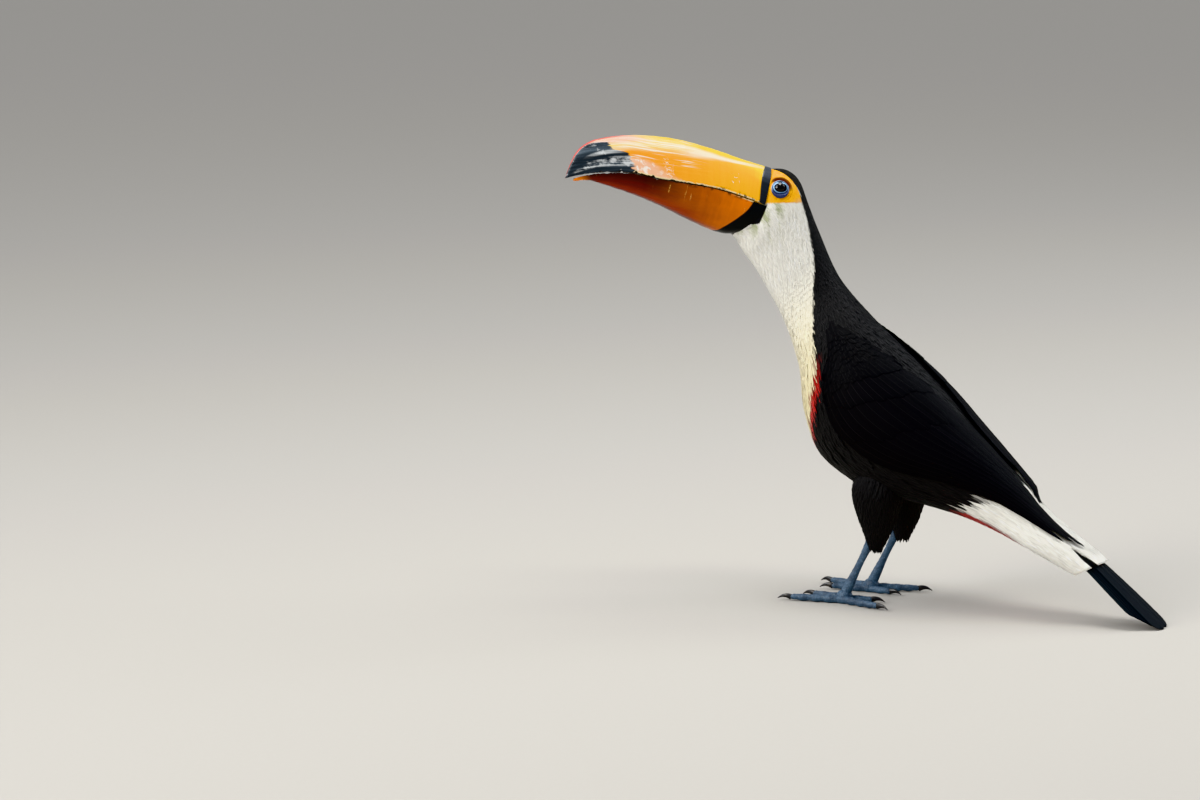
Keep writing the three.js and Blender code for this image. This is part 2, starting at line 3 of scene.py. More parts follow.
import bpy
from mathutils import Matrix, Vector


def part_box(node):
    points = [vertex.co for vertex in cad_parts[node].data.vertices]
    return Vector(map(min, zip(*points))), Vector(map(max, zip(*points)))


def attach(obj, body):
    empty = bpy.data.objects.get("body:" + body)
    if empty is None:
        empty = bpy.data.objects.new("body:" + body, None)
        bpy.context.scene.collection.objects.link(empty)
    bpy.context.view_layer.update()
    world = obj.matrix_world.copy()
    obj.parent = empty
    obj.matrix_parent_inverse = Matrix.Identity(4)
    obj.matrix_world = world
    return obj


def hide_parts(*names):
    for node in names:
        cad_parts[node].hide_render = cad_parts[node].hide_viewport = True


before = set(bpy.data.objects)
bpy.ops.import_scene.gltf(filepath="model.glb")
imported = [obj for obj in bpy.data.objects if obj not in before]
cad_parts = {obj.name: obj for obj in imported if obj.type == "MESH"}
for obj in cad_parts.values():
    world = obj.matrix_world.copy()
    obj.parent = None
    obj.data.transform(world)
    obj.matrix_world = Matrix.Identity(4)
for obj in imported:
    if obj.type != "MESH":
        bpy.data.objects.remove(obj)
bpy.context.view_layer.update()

import math

import bpy
import numpy as np
from mathutils import Matrix

bl_info = {
    "name": "Toco toucan",
    "version": (1, 0, 0),
    "blender": (4, 5, 0),
    "location": "View3D > Sidebar > Toucan",
    "description": "Builds the skin, plumage, bill, eyes and feet of a toco toucan, and a plain stage",
    "category": "Object",
}

# ------------------------------------------------------------------ the upright bird, in millimetres
# The solids' driving dimensions; the mouth's gap, the eye rings and the tail feathers' layers are this file's
# own. Each ring: ventral and dorsal point (y, z), half width, how far up the widest place lies, and the
# superellipse exponent.
RINGS = {
    "plug": ((-110, 288), (-100, 318), 9, 0.5, 2.2),
    "bill_base": ((-98, 277.5), (-80, 329), 16, 0.45, 2.1),
    "face": ((-94, 271.5), (-69, 331.9), 20, 0.68, 2.2),
    "eye": ((-89.5, 265.5), (-58.5, 331), 21.7, 0.66, 2.55),
    "crown": ((-84.5, 259.5), (-49, 323.5), 22.4, 0.64, 2.4),
    "hindhead": ((-79, 252.5), (-41.5, 306.5), 22.8, 0.58, 2.3),
    "nape": ((-70, 238), (-31, 282.5), 24.2, 0.52, 2.15),
    "neck": ((-54.5, 210.5), (-13, 247), 27, 0.5, 2.1),
    "mantle": ((-40.5, 179.5), (15, 219), 35.5, 0.5, 2.1),
    "shoulder": ((-35, 144), (44, 194), 43.5, 0.5, 2.1),
    "breast": ((-20, 111), (72, 170), 46.5, 0.5, 2.1),
    "belly": ((18, 90), (99, 144), 44, 0.5, 2.1),
    "vent": ((59, 81), (125, 119.5), 36.5, 0.54, 2.1),
    "rump": ((103, 71), (150, 95.5), 28.5, 0.6, 2.1),
    "coverts": ((150, 54), (181.3, 69.8), 24.5, 0.62, 2.1),
    "covert_tips": ((192, 33.5), (215.4, 45.4), 20, 0.6, 2.2),
}
RING = {name: float(i) for i, name in enumerate(RINGS)}
RING_TABLE = np.array([[*v, *d, h, w, s] for v, d, h, w, s in RINGS.values()], float)

HEAD_END = 5.6  # the ring number behind the head to which the coat is fine and the skin's rows are close

NECK_PIVOT = np.array([0.0, -45.0, 235.0])
NECK_LENGTHWISE = np.array([0.0, -0.5, math.sqrt(0.75)])
NECK_LEAN = math.radians(12)
TURN_FROM, TURN_TO = -44.0, 38.0
HEAD_TURN = math.radians(43)

CULMEN = [(-72, 332.4), (-95, 338.6), (-118, 345.6), (-149, 352.6), (-182, 354.4), (-210, 350.5),
          (-223.6, 343), (-230.4, 332), (-234.8, 319.6)]
TOMIUM = [(-78.5, 303), (-97, 309), (-117.6, 314.4), (-140, 318), (-163, 321.1), (-182, 325),
          (-205, 325), (-224, 322.4), (-234.8, 319.6)]
GONYS = [(-84, 284.5), (-98, 281), (-112, 281.8), (-132.5, 289.3), (-157.5, 300.4), (-178.5, 308.3),
         (-204.5, 316), (-216, 318.7), (-228, 317.8)]
BILL_HALF_WIDTH = [20.6, 20, 18.5, 16.4, 14, 11.3, 8.4, 5.2, 1.3]
LOWER_BILL_NARROWER = 0.98
RIM_SWEEP = -2.0
MOUTH_GAP = 0.7
LOWER_TIP = (-228.0, 319.4)

EYE_RADIUS = 6.2
ORBIT_CENTRE = (-68.7, 315.0)  # y, z on the face
ORBIT_RADIUS = 7.1
EYE_DEPTH = 4.35  # the eyeball's middle under the face
LID_OPENING = (4.8, 3.35)  # half length and half height of the opening
LID_RAISED = 1.4  # how far above the ring's centre the opening lies
RING_THICKNESS = 2.6

# The bare face: inside a circle on the side of the head and above a line under the eye
FACE_ARC = (-84.0, 300.0, 34.3)  # y, z, radius
FACE_FLOOR = (-77.0, 303.9, 0.06)  # a point of its lower edge (y, z), and the slope there

TAIL_ROOT = (138.5, 99.5)
TAIL_LENGTH = 158.0
TAIL_PITCH_ROOT, TAIL_PITCH_TIP = math.radians(36.6), math.radians(40.7)
TAIL_PAIRS = 5
TAIL_LAYER = 1.1  # from one pair down to the next
TAIL_CAMBER = 180.0
TAIL_GRADUATION = 4.5  # how much shorter each pair is than the one above
TAIL_HALF_WIDTH = 9.6
TAIL_SUNK = 6.0  # how deep the tail's root lies under the coverts

SIDES = (("left", 1.0), ("right", -1.0))

WING_WRIST = RING["mantle"] - 0.1
# The left and the right wing: ring number of the tip, where the bulk under it fades (shares of its length
# from the tip), the share from which coat lies over it, and how deep its tip is tucked under the rump
WING_TIP = {1.0: RING["coverts"] + 0.42, -1.0: RING["coverts"] - 0.1}
WING_FADE = {1.0: (0.02, 0.15), -1.0: (0.12, 0.25)}
WING_COVERED = {1.0: 0.97, -1.0: 0.84}
WING_TUCK = {1.0: 0.0, -1.0: 5.0}
WING_LOWER = np.radians([112, 84, 77, 80, 90, 105, 118, 130])
WING_UPPER = np.radians([128, 150, 163, 170, 172, 172, 171, 169])
WING_THICKNESS = np.array([3, 6.5, 7, 6.4, 5.2, 4, 2.8, 1.6])
WING_TIP_TURN = math.radians(3)  # the left tip lies this much higher on the back, the right one lower
WING_TURN_FROM = 0.6  # the share of the wing's length where that begins

HIP_SPREAD = 25.0
THIGH_LINE = [(36, 112), (34, 84), (34, 62), (33, 46)]
THIGH_RADII = [15, 20.5, 15, 6.2]
THIGH_FLATNESS = 0.8
ANKLE = (33.5, 57.0)
FOOT = (7.0, 8.0)
PAD_RADIUS = 6.6
TARSUS_RADIUS = 3.6
TARSUS_RUN = 58.0  # mm along the tarsus, for its plates
LEG_AROUND = 48
# length, turn from straight ahead (positive towards the mid plane), sideways start, radius, joints
TOES = {
    "inner_front": (31, 8, 3.9, 3.5, 3),
    "outer_front": (42, -12, -3.9, 3.6, 4),
    "outer_rear": (37, -163, -3.9, 3.5, 4),
    "inner_rear": (21, 169, 3.7, 3.3, 2),
}
CLAW_LENGTH = 11.0
CLAW_RADIUS = 2.3

# Forms of the coat over the rings
FLANK_SWELLING = 4.0
SADDLE_DEPTH = 6.5
SADDLE_MIDDLE = math.radians(195)
LOBE_HEIGHT = 3.4
PARTING = math.radians(136)  # the middle of the parting in the rump's left side
PARTING_DEPTH = 4.0

SEED = 20


def frame_origin():
    """Where the upright bird's origin lies in the row frame, in metres, from the trunk and the left foot."""
    trunk_low, trunk_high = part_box("trunk")
    foot_low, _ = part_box("tarsus_left")
    return np.array([(trunk_low.x + trunk_high.x) / 2, foot_low.y - (FOOT[0] - PAD_RADIUS) / 1000, 0.0])


ORIGIN = frame_origin()


# ------------------------------------------------------------------ numbers
def smoothstep(x, low, high):
    """0 below low, 1 above high, and a cubic ease between."""
    t = np.clip((np.asarray(x, float) - low) / (high - low), 0, 1)
    return t * t * (3 - 2 * t)


def spline(table, u):
    """Catmull-Rom value at position u of evenly spaced rows; the ends run on straight."""
    table = np.asarray(table, float)
    padded = np.concatenate([2 * table[:1] - table[1:2], table, 2 * table[-1:] - table[-2:-1]])
    u = np.asarray(u, float)
    i = np.clip(np.floor(u), 0, len(table) - 2).astype(int)
    t = u - i
    if table.ndim > 1:
        t = t[..., None]
    a, b, c, d = padded[i], padded[i + 1], padded[i + 2], padded[i + 3]
    return b + 0.5 * t * (c - a + t * (2 * a - 5 * b + 4 * c - d + t * (3 * (b - c) + d - a)))


def along_curve(points, t):
    """Points at fractions t of the length of the smooth curve through a list of (y, z) points; it runs on
    straight past its last point."""
    samples = spline(points, np.linspace(0, len(points) - 1, 600))
    length = np.concatenate([[0], np.cumsum(np.linalg.norm(np.diff(samples, axis=0), axis=1))])
    wanted = np.asarray(t, float) * length[-1]
    place_ = np.stack([np.interp(wanted, length, samples[:, k]) for k in (0, 1)], -1)
    beyond = (np.maximum(wanted - length[-1], 0) / (length[-1] - length[-2]))[..., None]
    return place_ + beyond * (samples[-1] - samples[-2])


def bell(x, middle, width):
    """A bump: 1 in the middle, and 1 / e at one width from it."""
    return np.exp(-((x - middle) / width) ** 2)


def mix(first, second, share):
    """What lies a share of the way from first to second."""
    return first + (second - first) * share


def turn(count):
    """Angles evenly round a full turn, as a row."""
    return np.linspace(0, 2 * math.pi, count, endpoint=False)[None, :]


def linear(code):
    """A colour code #rrggbb as linear red, green and blue."""
    srgb = np.array([int(code[i:i + 2], 16) for i in (1, 3, 5)]) / 255
    return np.where(srgb < 0.04045, srgb / 12.92, ((srgb + 0.055) / 1.055) ** 2.4)


def wobble(points, scale, seed=0):
    """Smooth noise from -1 to 1: a sum of nine sine waves in fixed random directions."""
    draw = np.random.default_rng(seed)
    total = 0
    for octave in range(3):
        for _ in range(3):
            direction = draw.normal(size=3)
            direction *= 2 ** octave / np.linalg.norm(direction) / scale * 2 * math.pi
            total = total + np.sin(points @ direction + draw.uniform(0, 6.28)) / 2 ** octave
    return total / 4


# ------------------------------------------------------------------ the bird's surfaces
def turn_head(points):
    """A point of the upright bird in its pose: a turn about the neck's axis that grows up the neck."""
    axis = np.array([0.0, -math.sin(NECK_LEAN), math.cos(NECK_LEAN)])
    rel = points - NECK_PIVOT
    angle = HEAD_TURN * smoothstep(rel @ NECK_LENGTHWISE, TURN_FROM, TURN_TO)
    c, s = np.cos(angle)[..., None], np.sin(angle)[..., None]
    along = (rel @ axis)[..., None]
    return rel * c + np.cross(np.broadcast_to(axis, rel.shape), rel) * s + axis * along * (1 - c) + NECK_PIVOT


def place(points):
    """Upright millimetres to the posed bird in the row frame, in metres."""
    return turn_head(points) / 1000 + ORIGIN


def body_surface(u, a, grow=0.0):
    """Ring number u, angle a round the ring from the breast (0) over the left side to the back (pi): a
    superellipse in the ring's plane, made of two halves that meet at the widest height; grow moves it out."""
    row = spline(RING_TABLE, u)
    ventral, dorsal = row[..., 0:2], row[..., 2:4]
    half, widest, square = row[..., 4], row[..., 5], row[..., 6]
    up = dorsal - ventral
    height = np.linalg.norm(up, axis=-1)
    up = up / height[..., None]
    radius = (np.abs(np.cos(a)) ** square + np.abs(np.sin(a)) ** square) ** (-1 / square)
    lift = -radius * np.cos(a)
    reach = np.where(lift < 0, widest, 1 - widest) * height + grow
    yz = ventral + up * (widest * height + reach * lift)[..., None]
    x = (half + grow) * radius * np.sin(a) + 0 * yz[..., 0]
    return np.stack([x, yz[..., 0], yz[..., 1]], -1)


def fold(a):
    """The angle from the breast, the same on both sides, from 0 to pi."""
    return np.abs((np.asarray(a) + math.pi) % (2 * math.pi) - math.pi)


def from_parting(a):
    """Angle from the middle of the parting in the rump's left side."""
    return np.abs(np.asarray(a) % (2 * math.pi) - PARTING)


def wing_edges(side, s):
    """Angles of a folded wing's lower and upper edge at fraction s of its length."""
    at = np.clip(s, 0, 1) * (len(WING_LOWER) - 1)
    raised = side * WING_TIP_TURN * smoothstep(s, WING_TURN_FROM, 1)
    return spline(WING_LOWER, at) + raised, spline(WING_UPPER, at) + raised


def wing_place(side, u, a):
    """Place on a folded wing: fraction along from wrist to tip, and across from lower to upper edge."""
    along = (u - WING_WRIST) / (WING_TIP[side] - WING_WRIST)
    low, high = wing_edges(side, along)
    return along, ((side * np.asarray(a)) % (2 * math.pi) - low) / (high - low)


def wing_dome(s, q):
    """How far a folded wing stands over the body away from its edges."""
    thickness = spline(WING_THICKNESS, np.clip(s, 0, 1) * (len(WING_THICKNESS) - 1))
    return 0.5 + thickness * (0.25 + 0.75 * np.sqrt(np.sin(math.pi * np.clip(q, 0.02, 0.98))))


def flank_height(u, a):
    """A low swelling of the flank where the thigh joins it."""
    low = bell(fold(a), math.radians(40), math.radians(24))
    return FLANK_SWELLING * bell(u, RING["belly"] + 0.3, 0.75) * low


def saddle_height(u, a):
    """How far the back of the rump is sunk between the wings' tips and the tail, as a negative height."""
    deep = SADDLE_DEPTH * smoothstep(u, 12.9, 13.6) * (1 - 0.8 * smoothstep(u, 14.05, 14.75))
    return -deep * bell(np.asarray(a) % (2 * math.pi), SADDLE_MIDDLE, math.radians(38))


def rump_height(u, a):
    """The fluffed white coverts: a lobe low on each side, and on the left, where they are parted, a groove
    above it in which the tail's edge shows."""
    low = bell(fold(a), math.radians(62), math.radians(26))
    lobe = LOBE_HEIGHT * low * bell(u, RING["coverts"] + 0.05, 0.65)
    groove = PARTING_DEPTH * bell(from_parting(a), 0, math.radians(13)) * smoothstep(u, 14.25, 14.8)
    return saddle_height(u, a) + lobe - groove


def coat_surface(u, a, grow=0.0):
    """The body with the bulk that lies under the folded wings' feathers, its flanks and its fluffed rump."""
    bulk = 0
    for side in WING_TIP:
        along, across = wing_place(side, u, a)
        edge = smoothstep(across, 0.03, 0.18) * smoothstep(1 - across, 0.03, 0.14)
        edge = edge * smoothstep(along, -0.03, 0.05) * smoothstep(1 - along, *WING_FADE[side])
        bulk = bulk + np.maximum(wing_dome(along, across) - 1.5, 0) * edge
    return body_surface(u, a, grow + bulk + flank_height(u, a) + rump_height(u, a))


def thigh_surface(side):
    """The left or right thigh: v runs from the hip (0) to the ankle (1), b round it from the front."""
    def surface(v, b, grow=0.0):
        centre = along_curve(THIGH_LINE, v)
        ahead = along_curve(THIGH_LINE, v + 0.01) - along_curve(THIGH_LINE, v - 0.01)
        ahead = ahead / np.linalg.norm(ahead, axis=-1, keepdims=True)
        radius = spline(THIGH_RADII, np.clip(v, 0, 1.04) * (len(THIGH_RADII) - 1)) + grow
        out = radius * -np.cos(b)
        x = side * (HIP_SPREAD + THIGH_FLATNESS * radius * np.sin(b))
        return np.stack([x, centre[..., 0] - out * ahead[..., 1], centre[..., 1] + out * ahead[..., 0]], -1)
    return surface


def on_face(y, z):
    """Ring numbers and angles of the face's left side at heights z and places y, by Newton's method."""
    y, z = np.broadcast_arrays(np.asarray(y, float), np.asarray(z, float))
    u, a = np.full(y.shape, 2.8), np.full(y.shape, 1.7)
    step = 1e-4
    for _ in range(14):
        here = body_surface(u, a)[..., 1:]
        du = (body_surface(u + step, a)[..., 1:] - here) / step
        da = (body_surface(u, a + step)[..., 1:] - here) / step
        miss = np.stack([y, z], -1) - here
        det = du[..., 0] * da[..., 1] - du[..., 1] * da[..., 0]
        u = u + np.clip((miss[..., 0] * da[..., 1] - miss[..., 1] * da[..., 0]) / det, -0.4, 0.4)
        a = a + np.clip((du[..., 0] * miss[..., 1] - du[..., 1] * miss[..., 0]) / det, -0.3, 0.3)
    return u, a


# ------------------------------------------------------------------ markings, shared by skin and coat
# The bill's rim on the face: heights z, and the place y at each
RIM_LINE = ([279, 282.7, 286, 288.1, 295, 302.7, 316, 331],
            [-110, -99, -93.4, -84.3, -81.5, -78.6, -77.9, -74.5])
# How far round each ring the white reaches
WHITE_LIMIT = np.radians([120, 120, 122, 126, 128, 124, 112, 98, 80, 42, -20, -60, -60, -60, -60, -60])
# deep is painted shade, laid in the crease over the eye's ring
COLOURS = {
    "white": "#faf8ef", "cream": "#efe0a4", "black": "#08080b", "crown": "#0c0908",
    "red": "#b3160f", "orange": "#ffbc06", "deep": "#6a2402", "pink": "#eebfa4", "green": "#a4ad78",
    "tail": "#0b1219",
}
TINT = {name: linear(code) for name, code in COLOURS.items()}


def blend_to(colour, other, share):
    """Rows of colours, each turned into another by its share."""
    return mix(colour, other, np.asarray(share)[..., None])


def areas(u, a, points):
    """How far each place belongs to each marking, from 0 to 1: the white bib, its red lower border, the white
    rump, the red under the tail, and the bare face inside an arc behind the eye and above a line below it."""
    y, z, angle = points[..., 1], points[..., 2], fold(a)
    ragged = wobble(points, 9.0, 3)
    inside = spline(WHITE_LIMIT, u) + 0.03 * ragged - angle
    rear = smoothstep(u + 0.1 * ragged, RING["vent"] + 0.35, RING["vent"] + 0.6)
    parted = smoothstep(math.radians(15) * smoothstep(u, 14.3, 14.85) - from_parting(a), 0, 0.04)
    belly = angle - math.radians(52)
    belly = belly + math.radians(24) * smoothstep(u, RING["rump"] + 0.3, RING["coverts"] + 0.3)
    reach = FACE_ARC[2] - np.hypot(y - FACE_ARC[0], z - FACE_ARC[1]) + 0.25 * ragged
    floor = z - FACE_FLOOR[1] - FACE_FLOOR[2] * (y - FACE_FLOOR[0]) + 0.3 * ragged
    ahead = np.interp(z, *RIM_LINE) - y
    return {
        "bib": smoothstep(inside, -0.03, 0.04),
        "chin": smoothstep(ahead, -0.5, 0.3) * smoothstep(-z, -304, -302) * (u < 4),
        "border": smoothstep(-inside, -0.04, 0.04) * smoothstep(inside, -0.24, -0.18)
        * smoothstep(u, 7.9, 8.6) * smoothstep(-u, -10.6, -10.2),
        "rump": rear * smoothstep(belly, -0.07, 0.07) * (1 - parted),
        "under": rear * smoothstep(-belly, -0.07, 0.07),
        "bare": smoothstep(reach, -0.3, 0.5) * smoothstep(floor, -0.4, 0.5) * (u < HEAD_END),
    }


def coat_depth(u, depth):
    """How far the skin lies under the coat's surface: less on the head than on the body."""
    return depth * (0.42 + 0.58 * smoothstep(u, RING["hindhead"], RING["mantle"]))


def feather_colours(u, a, points):
    """The coat's colours at upright points with ring number u and angle a, as linear rows."""
    z, at = points[..., 2], areas(u, a, points)
    colour = np.broadcast_to(TINT["black"], points.shape)
    colour = blend_to(colour, TINT["crown"], smoothstep(-u, -5.5, -4))
    white = blend_to(np.broadcast_to(TINT["white"], points.shape), TINT["cream"],
                     0.8 * smoothstep(u, RING["nape"] - 0.4, RING["shoulder"]))
    stain = smoothstep(wobble(points, 11.0, 5) + 0.5 * wobble(points, 3.0, 6), -0.1, 0.7)
    stain = stain * smoothstep(z, 272, 290) * smoothstep(-points[..., 1], 64, 73)
    white = blend_to(white, TINT["green"], 0.8 * stain * (points[..., 0] > 0))
    specks = 0.7 * smoothstep(wobble(points, 2.6, 7), 0.62, 0.8) * (stain > 0.3) * (z > 296)
    white = blend_to(white, TINT["crown"], specks)
    colour = blend_to(colour, white, at["bib"])
    for name in ("border", "under"):
        colour = blend_to(colour, TINT["red"], at[name])
    return blend_to(colour, TINT["white"], at["rump"])


def markings(u, a, points):
    """The skin's colours: the coat's, and the bare face's, with painted shade in the crease over the eye's
    ring.
    """
    y, z, at = points[..., 1], points[..., 2], areas(u, a, points)
    behind, above = y - ORBIT_CENTRE[0], z - ORBIT_CENTRE[1]
    # painted shade: the bare skin darkened to deep brown in the crease over the top of the eye's ring
    crease = smoothstep(-np.hypot(behind, above), -10.6, -8.5) * smoothstep(above + 0.4 * behind, 1, 6)
    skin = blend_to(np.broadcast_to(TINT["orange"], points.shape), TINT["deep"], crease)
    skin = blend_to(skin, TINT["pink"], 0.75 * smoothstep(y, -62, -50) * smoothstep(-z, -311, -304))
    return blend_to(blend_to(feather_colours(u, a, points), skin, at["bare"]), TINT["black"], at["chin"])


# ------------------------------------------------------------------ meshes
def new_piece(name, points, faces, material, values=None, uv=None, smooth=True):
    """A mesh object from points in metres and a list of arrays of faces, each all quads or all triangles;
    smooth may be one truth for each face, and values are attributes of the points."""
    sizes = np.concatenate([np.full(len(f), f.shape[1]) for f in faces])
    corners = np.concatenate([f.ravel() for f in faces])
    mesh = bpy.data.meshes.new(name)
    mesh.vertices.add(len(points))
    mesh.vertices.foreach_set("co", np.asarray(points, np.float32).ravel())
    mesh.loops.add(len(corners))
    mesh.loops.foreach_set("vertex_index", corners.astype(np.int32))
    mesh.polygons.add(len(sizes))
    mesh.polygons.foreach_set("loop_start", np.concatenate([[0], np.cumsum(sizes)[:-1]]).astype(np.int32))
    mesh.update(calc_edges=True)
    mesh.polygons.foreach_set("use_smooth", np.broadcast_to(smooth, len(sizes)))
    for key, value in (values or {}).items():
        value = np.asarray(value, np.float32)
        if value.ndim == 1:
            mesh.attributes.new(key, "FLOAT", "POINT").data.foreach_set("value", value)
        elif key == "tint":
            rgba = np.concatenate([value, np.ones((len(value), 1), np.float32)], 1)
            mesh.attributes.new(key, "FLOAT_COLOR", "POINT").data.foreach_set("color", rgba.ravel())
        else:
            mesh.attributes.new(key, "FLOAT_VECTOR", "POINT").data.foreach_set("vector", value.ravel())
    if uv is not None:
        mesh.uv_layers.new(name="OFBake").data.foreach_set("uv", np.asarray(uv, np.float32)[corners].ravel())
    mesh.materials.append(material)
    mesh.validate()
    piece = bpy.data.objects.new(name, mesh)
    bpy.context.scene.collection.objects.link(piece)
    return piece


def dress(name, points, faces, material, slot, nodes=(), **more):
    """A piece of the bird from points in upright millimetres, attached to the root body, with the CAD parts
    it replaces hidden.
    """
    piece = new_piece(name, place(points), faces, material, **more)
    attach(piece, "root")
    if nodes:
        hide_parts(*nodes)


def grid_faces(rows, columns):
    """Quads over a grid of points whose last column joins the first."""
    i, j = np.meshgrid(np.arange(rows - 1), np.arange(columns), indexing="ij")
    k = (j + 1) % columns
    here, ahead = i * columns, (i + 1) * columns
    return np.stack([here + j, here + k, ahead + k, ahead + j], -1).reshape(-1, 4)


def with_poles(grid):
    """A grid of numbers or vectors as a list, with the means of its first and last rows added."""
    return np.concatenate([grid.reshape(-1, *grid.shape[2:]), grid[0].mean(0)[None], grid[-1].mean(0)[None]])


def closed_tube(points):
    """Points (rings, places round, 3) as a closed shell that faces outwards: quads between rings and a fan
    over each end."""
    rings, size, _ = points.shape
    j = np.arange(size)
    k = (j + 1) % size
    first, last = rings * size, rings * size + 1
    start = np.stack([np.full(size, first), k, j], -1)
    end = np.stack([np.full(size, last), (rings - 1) * size + j, (rings - 1) * size + k], -1)
    flat = with_poles(points)
    return flat, outward(flat, [grid_faces(rings, size), np.concatenate([start, end])])


def join_shells(shells):
    """Several (points, [faces]) shells as one."""
    starts = np.cumsum([0] + [len(points) for points, _ in shells])
    faces = [np.concatenate([group + start for start, group in zip(starts, groups)])
             for groups in zip(*(faces for _, faces in shells))]
    return np.concatenate([points for points, _ in shells]), faces


def outward(points, faces):
    """The same faces, turned round if the shell they close is inside out (its signed volume is negative)."""
    volume = 0.0
    for f in faces:
        for k in range(1, f.shape[1] - 1):
            a, b, c = points[f[:, 0]], points[f[:, k]], points[f[:, k + 1]]
            volume += np.einsum("ij,ij->", a, np.cross(b, c))
    return faces if volume > 0 else [f[:, ::-1] for f in faces]


# ------------------------------------------------------------------ shaders
class Value:
    """A number or vector in a shader. Arithmetic on it adds Math nodes."""

    def __init__(self, shader, socket):
        self.shader, self.socket = shader, socket

    def maths(self, operation, *values, clamp=False):
        settings = {"operation": operation, "use_clamp": clamp}
        return self.shader.add("ShaderNodeMath", settings, dict(enumerate(values)))

    def __add__(self, other):
        return self.maths("ADD", self, other)

    def __sub__(self, other):
        return self.maths("SUBTRACT", self, other)

    def __rsub__(self, other):
        return self.maths("SUBTRACT", other, self)

    def __mul__(self, other):
        return self.maths("MULTIPLY", self, other)

    def __truediv__(self, other):
        return self.maths("DIVIDE", self, other)

    def __abs__(self):
        return self.maths("ABSOLUTE", self)

    def sine(self):
        """Its sine."""
        return self.maths("SINE", self)

    def clipped(self):
        """The value kept between 0 and 1."""
        return self.maths("ADD", self, 0.0, clamp=True)

    def ease(self, low, high):
        """0 below low and 1 above high, smoothly; low may be the larger, which turns it round."""
        if low > high:
            return 1.0 - self.ease(high, low)
        return self.shader.add("ShaderNodeMapRange", {"interpolation_type": "SMOOTHSTEP"},
                               {"Value": self, "From Min": low, "From Max": high})

    __radd__ = __add__
    __rmul__ = __mul__


class Shader:
    """A new material on the Principled shader; add() makes any node."""

    def __init__(self, name, **constants):
        self.material = bpy.data.materials.new(name)
        self.material.use_nodes = True
        self.tree = self.material.node_tree
        self.principled = next(n for n in self.tree.nodes if n.type == "BSDF_PRINCIPLED")
        for key, value in constants.items():
            self.principled.inputs[key.replace("_", " ")].default_value = value

    def add(self, kind, settings=None, inputs=None, output=0):
        """A node of this kind: settings are set first, then the values or links of its sockets."""
        node = self.tree.nodes.new(kind)
        for key, value in (settings or {}).items():
            setattr(node, key, value)
        for key, value in (inputs or {}).items():
            self.feed(node.inputs[key], value)
        return Value(self, node.outputs[output])

    def feed(self, socket, value):
        """Links a value to a socket, or sets the socket to a number or a colour."""
        if isinstance(value, Value):
            self.tree.links.new(value.socket, socket)
        elif socket.type == "RGBA":
            socket.default_value = (*value, 1.0)
        else:
            socket.default_value = value

    def colour(self, factor, first, second, blend="MIX"):
        """Two colours mixed by a factor."""
        settings = {"data_type": "RGBA", "blend_type": blend}
        return self.add("ShaderNodeMix", settings, {0: factor, 6: first, 7: second}, 2)

    def layers(self, base, *coats):
        """A base colour with others laid over it, each a mask and a colour or its code."""
        for mask, colour in coats:
            base = self.colour(mask, base, linear(colour) if isinstance(colour, str) else colour)
        return base

    def attribute(self, name, output="Fac"):
        """A number that the mesh holds for each point, or with another output its colour or vector."""
        return self.add("ShaderNodeAttribute", {"attribute_name": name}, output=output)

    def axes(self, vector):
        """The three numbers of a vector."""
        return [self.add("ShaderNodeSeparateXYZ", None, {0: vector}, output=i) for i in range(3)]

    def vector(self, x, y, z):
        """A vector of three numbers."""
        return self.add("ShaderNodeCombineXYZ", None, {0: x, 1: y, 2: z})

    def object_place(self):
        """The place in the object's own metres."""
        return self.add("ShaderNodeTexCoord", output="Object")

    def noise(self, vector, scale, detail=3.0, roughness=0.5, distortion=0.0):
        """Smooth noise from 0 to 1."""
        inputs = {"Scale": scale, "Detail": detail, "Roughness": roughness, "Distortion": distortion}
        return self.add("ShaderNodeTexNoise", None, {"Vector": vector, **inputs})

    def cells(self, vector, scale):
        """The distance to the nearest of scattered points."""
        return self.add("ShaderNodeTexVoronoi", None, {"Vector": vector, "Scale": scale})

    def finish(self, base, roughness=None, height=None, distance=0.0005, strength=1.0):
        """The material, with its colour, and if given its roughness and a bump of this height."""
        self.feed(self.principled.inputs["Base Color"], base)
        if roughness is not None:
            self.feed(self.principled.inputs["Roughness"], roughness)
        if height is not None:
            bump = {"Height": height, "Distance": distance, "Strength": strength}
            self.feed(self.principled.inputs["Normal"], self.add("ShaderNodeBump", None, bump))
        return self.material


# ------------------------------------------------------------------ settings
def length(name, text, default, low, high):
    """A setting in metres."""
    return bpy.props.FloatProperty(name=name, description=text, default=default, min=low, max=high,
                                   subtype="DISTANCE", unit="LENGTH", precision=4)


def amount(name, text, default, low, high):
    """A setting without a unit."""
    return bpy.props.FloatProperty(name=name, description=text, default=default, min=low, max=high,
                                   subtype="FACTOR")


def tone(name, text, code):
    """A colour, kept linear."""
    return bpy.props.FloatVectorProperty(name=name, description=text, default=tuple(linear(code)), size=3,
                                         min=0.0, max=1.0, subtype="COLOR")


def bearing(name, text, degrees):
    """An angle."""
    return bpy.props.FloatProperty(name=name, description=text, default=math.radians(degrees),
                                   subtype="ANGLE", unit="ROTATION")


class ToucanPlumage(bpy.types.PropertyGroup):
    """Skin and coat."""

    depth: length("Coat depth", "How far the skin lies under the coat's surface", 0.0007, 0.0, 0.01)
    layers: amount("Layers", "How many feathers lie over each place of the skin", 3.6, 1.0, 8.0)
    fluff: amount("Fluff", "How far the tips stand out of the coat, 1 for a calm bird", 1.0, 0.0, 3.0)


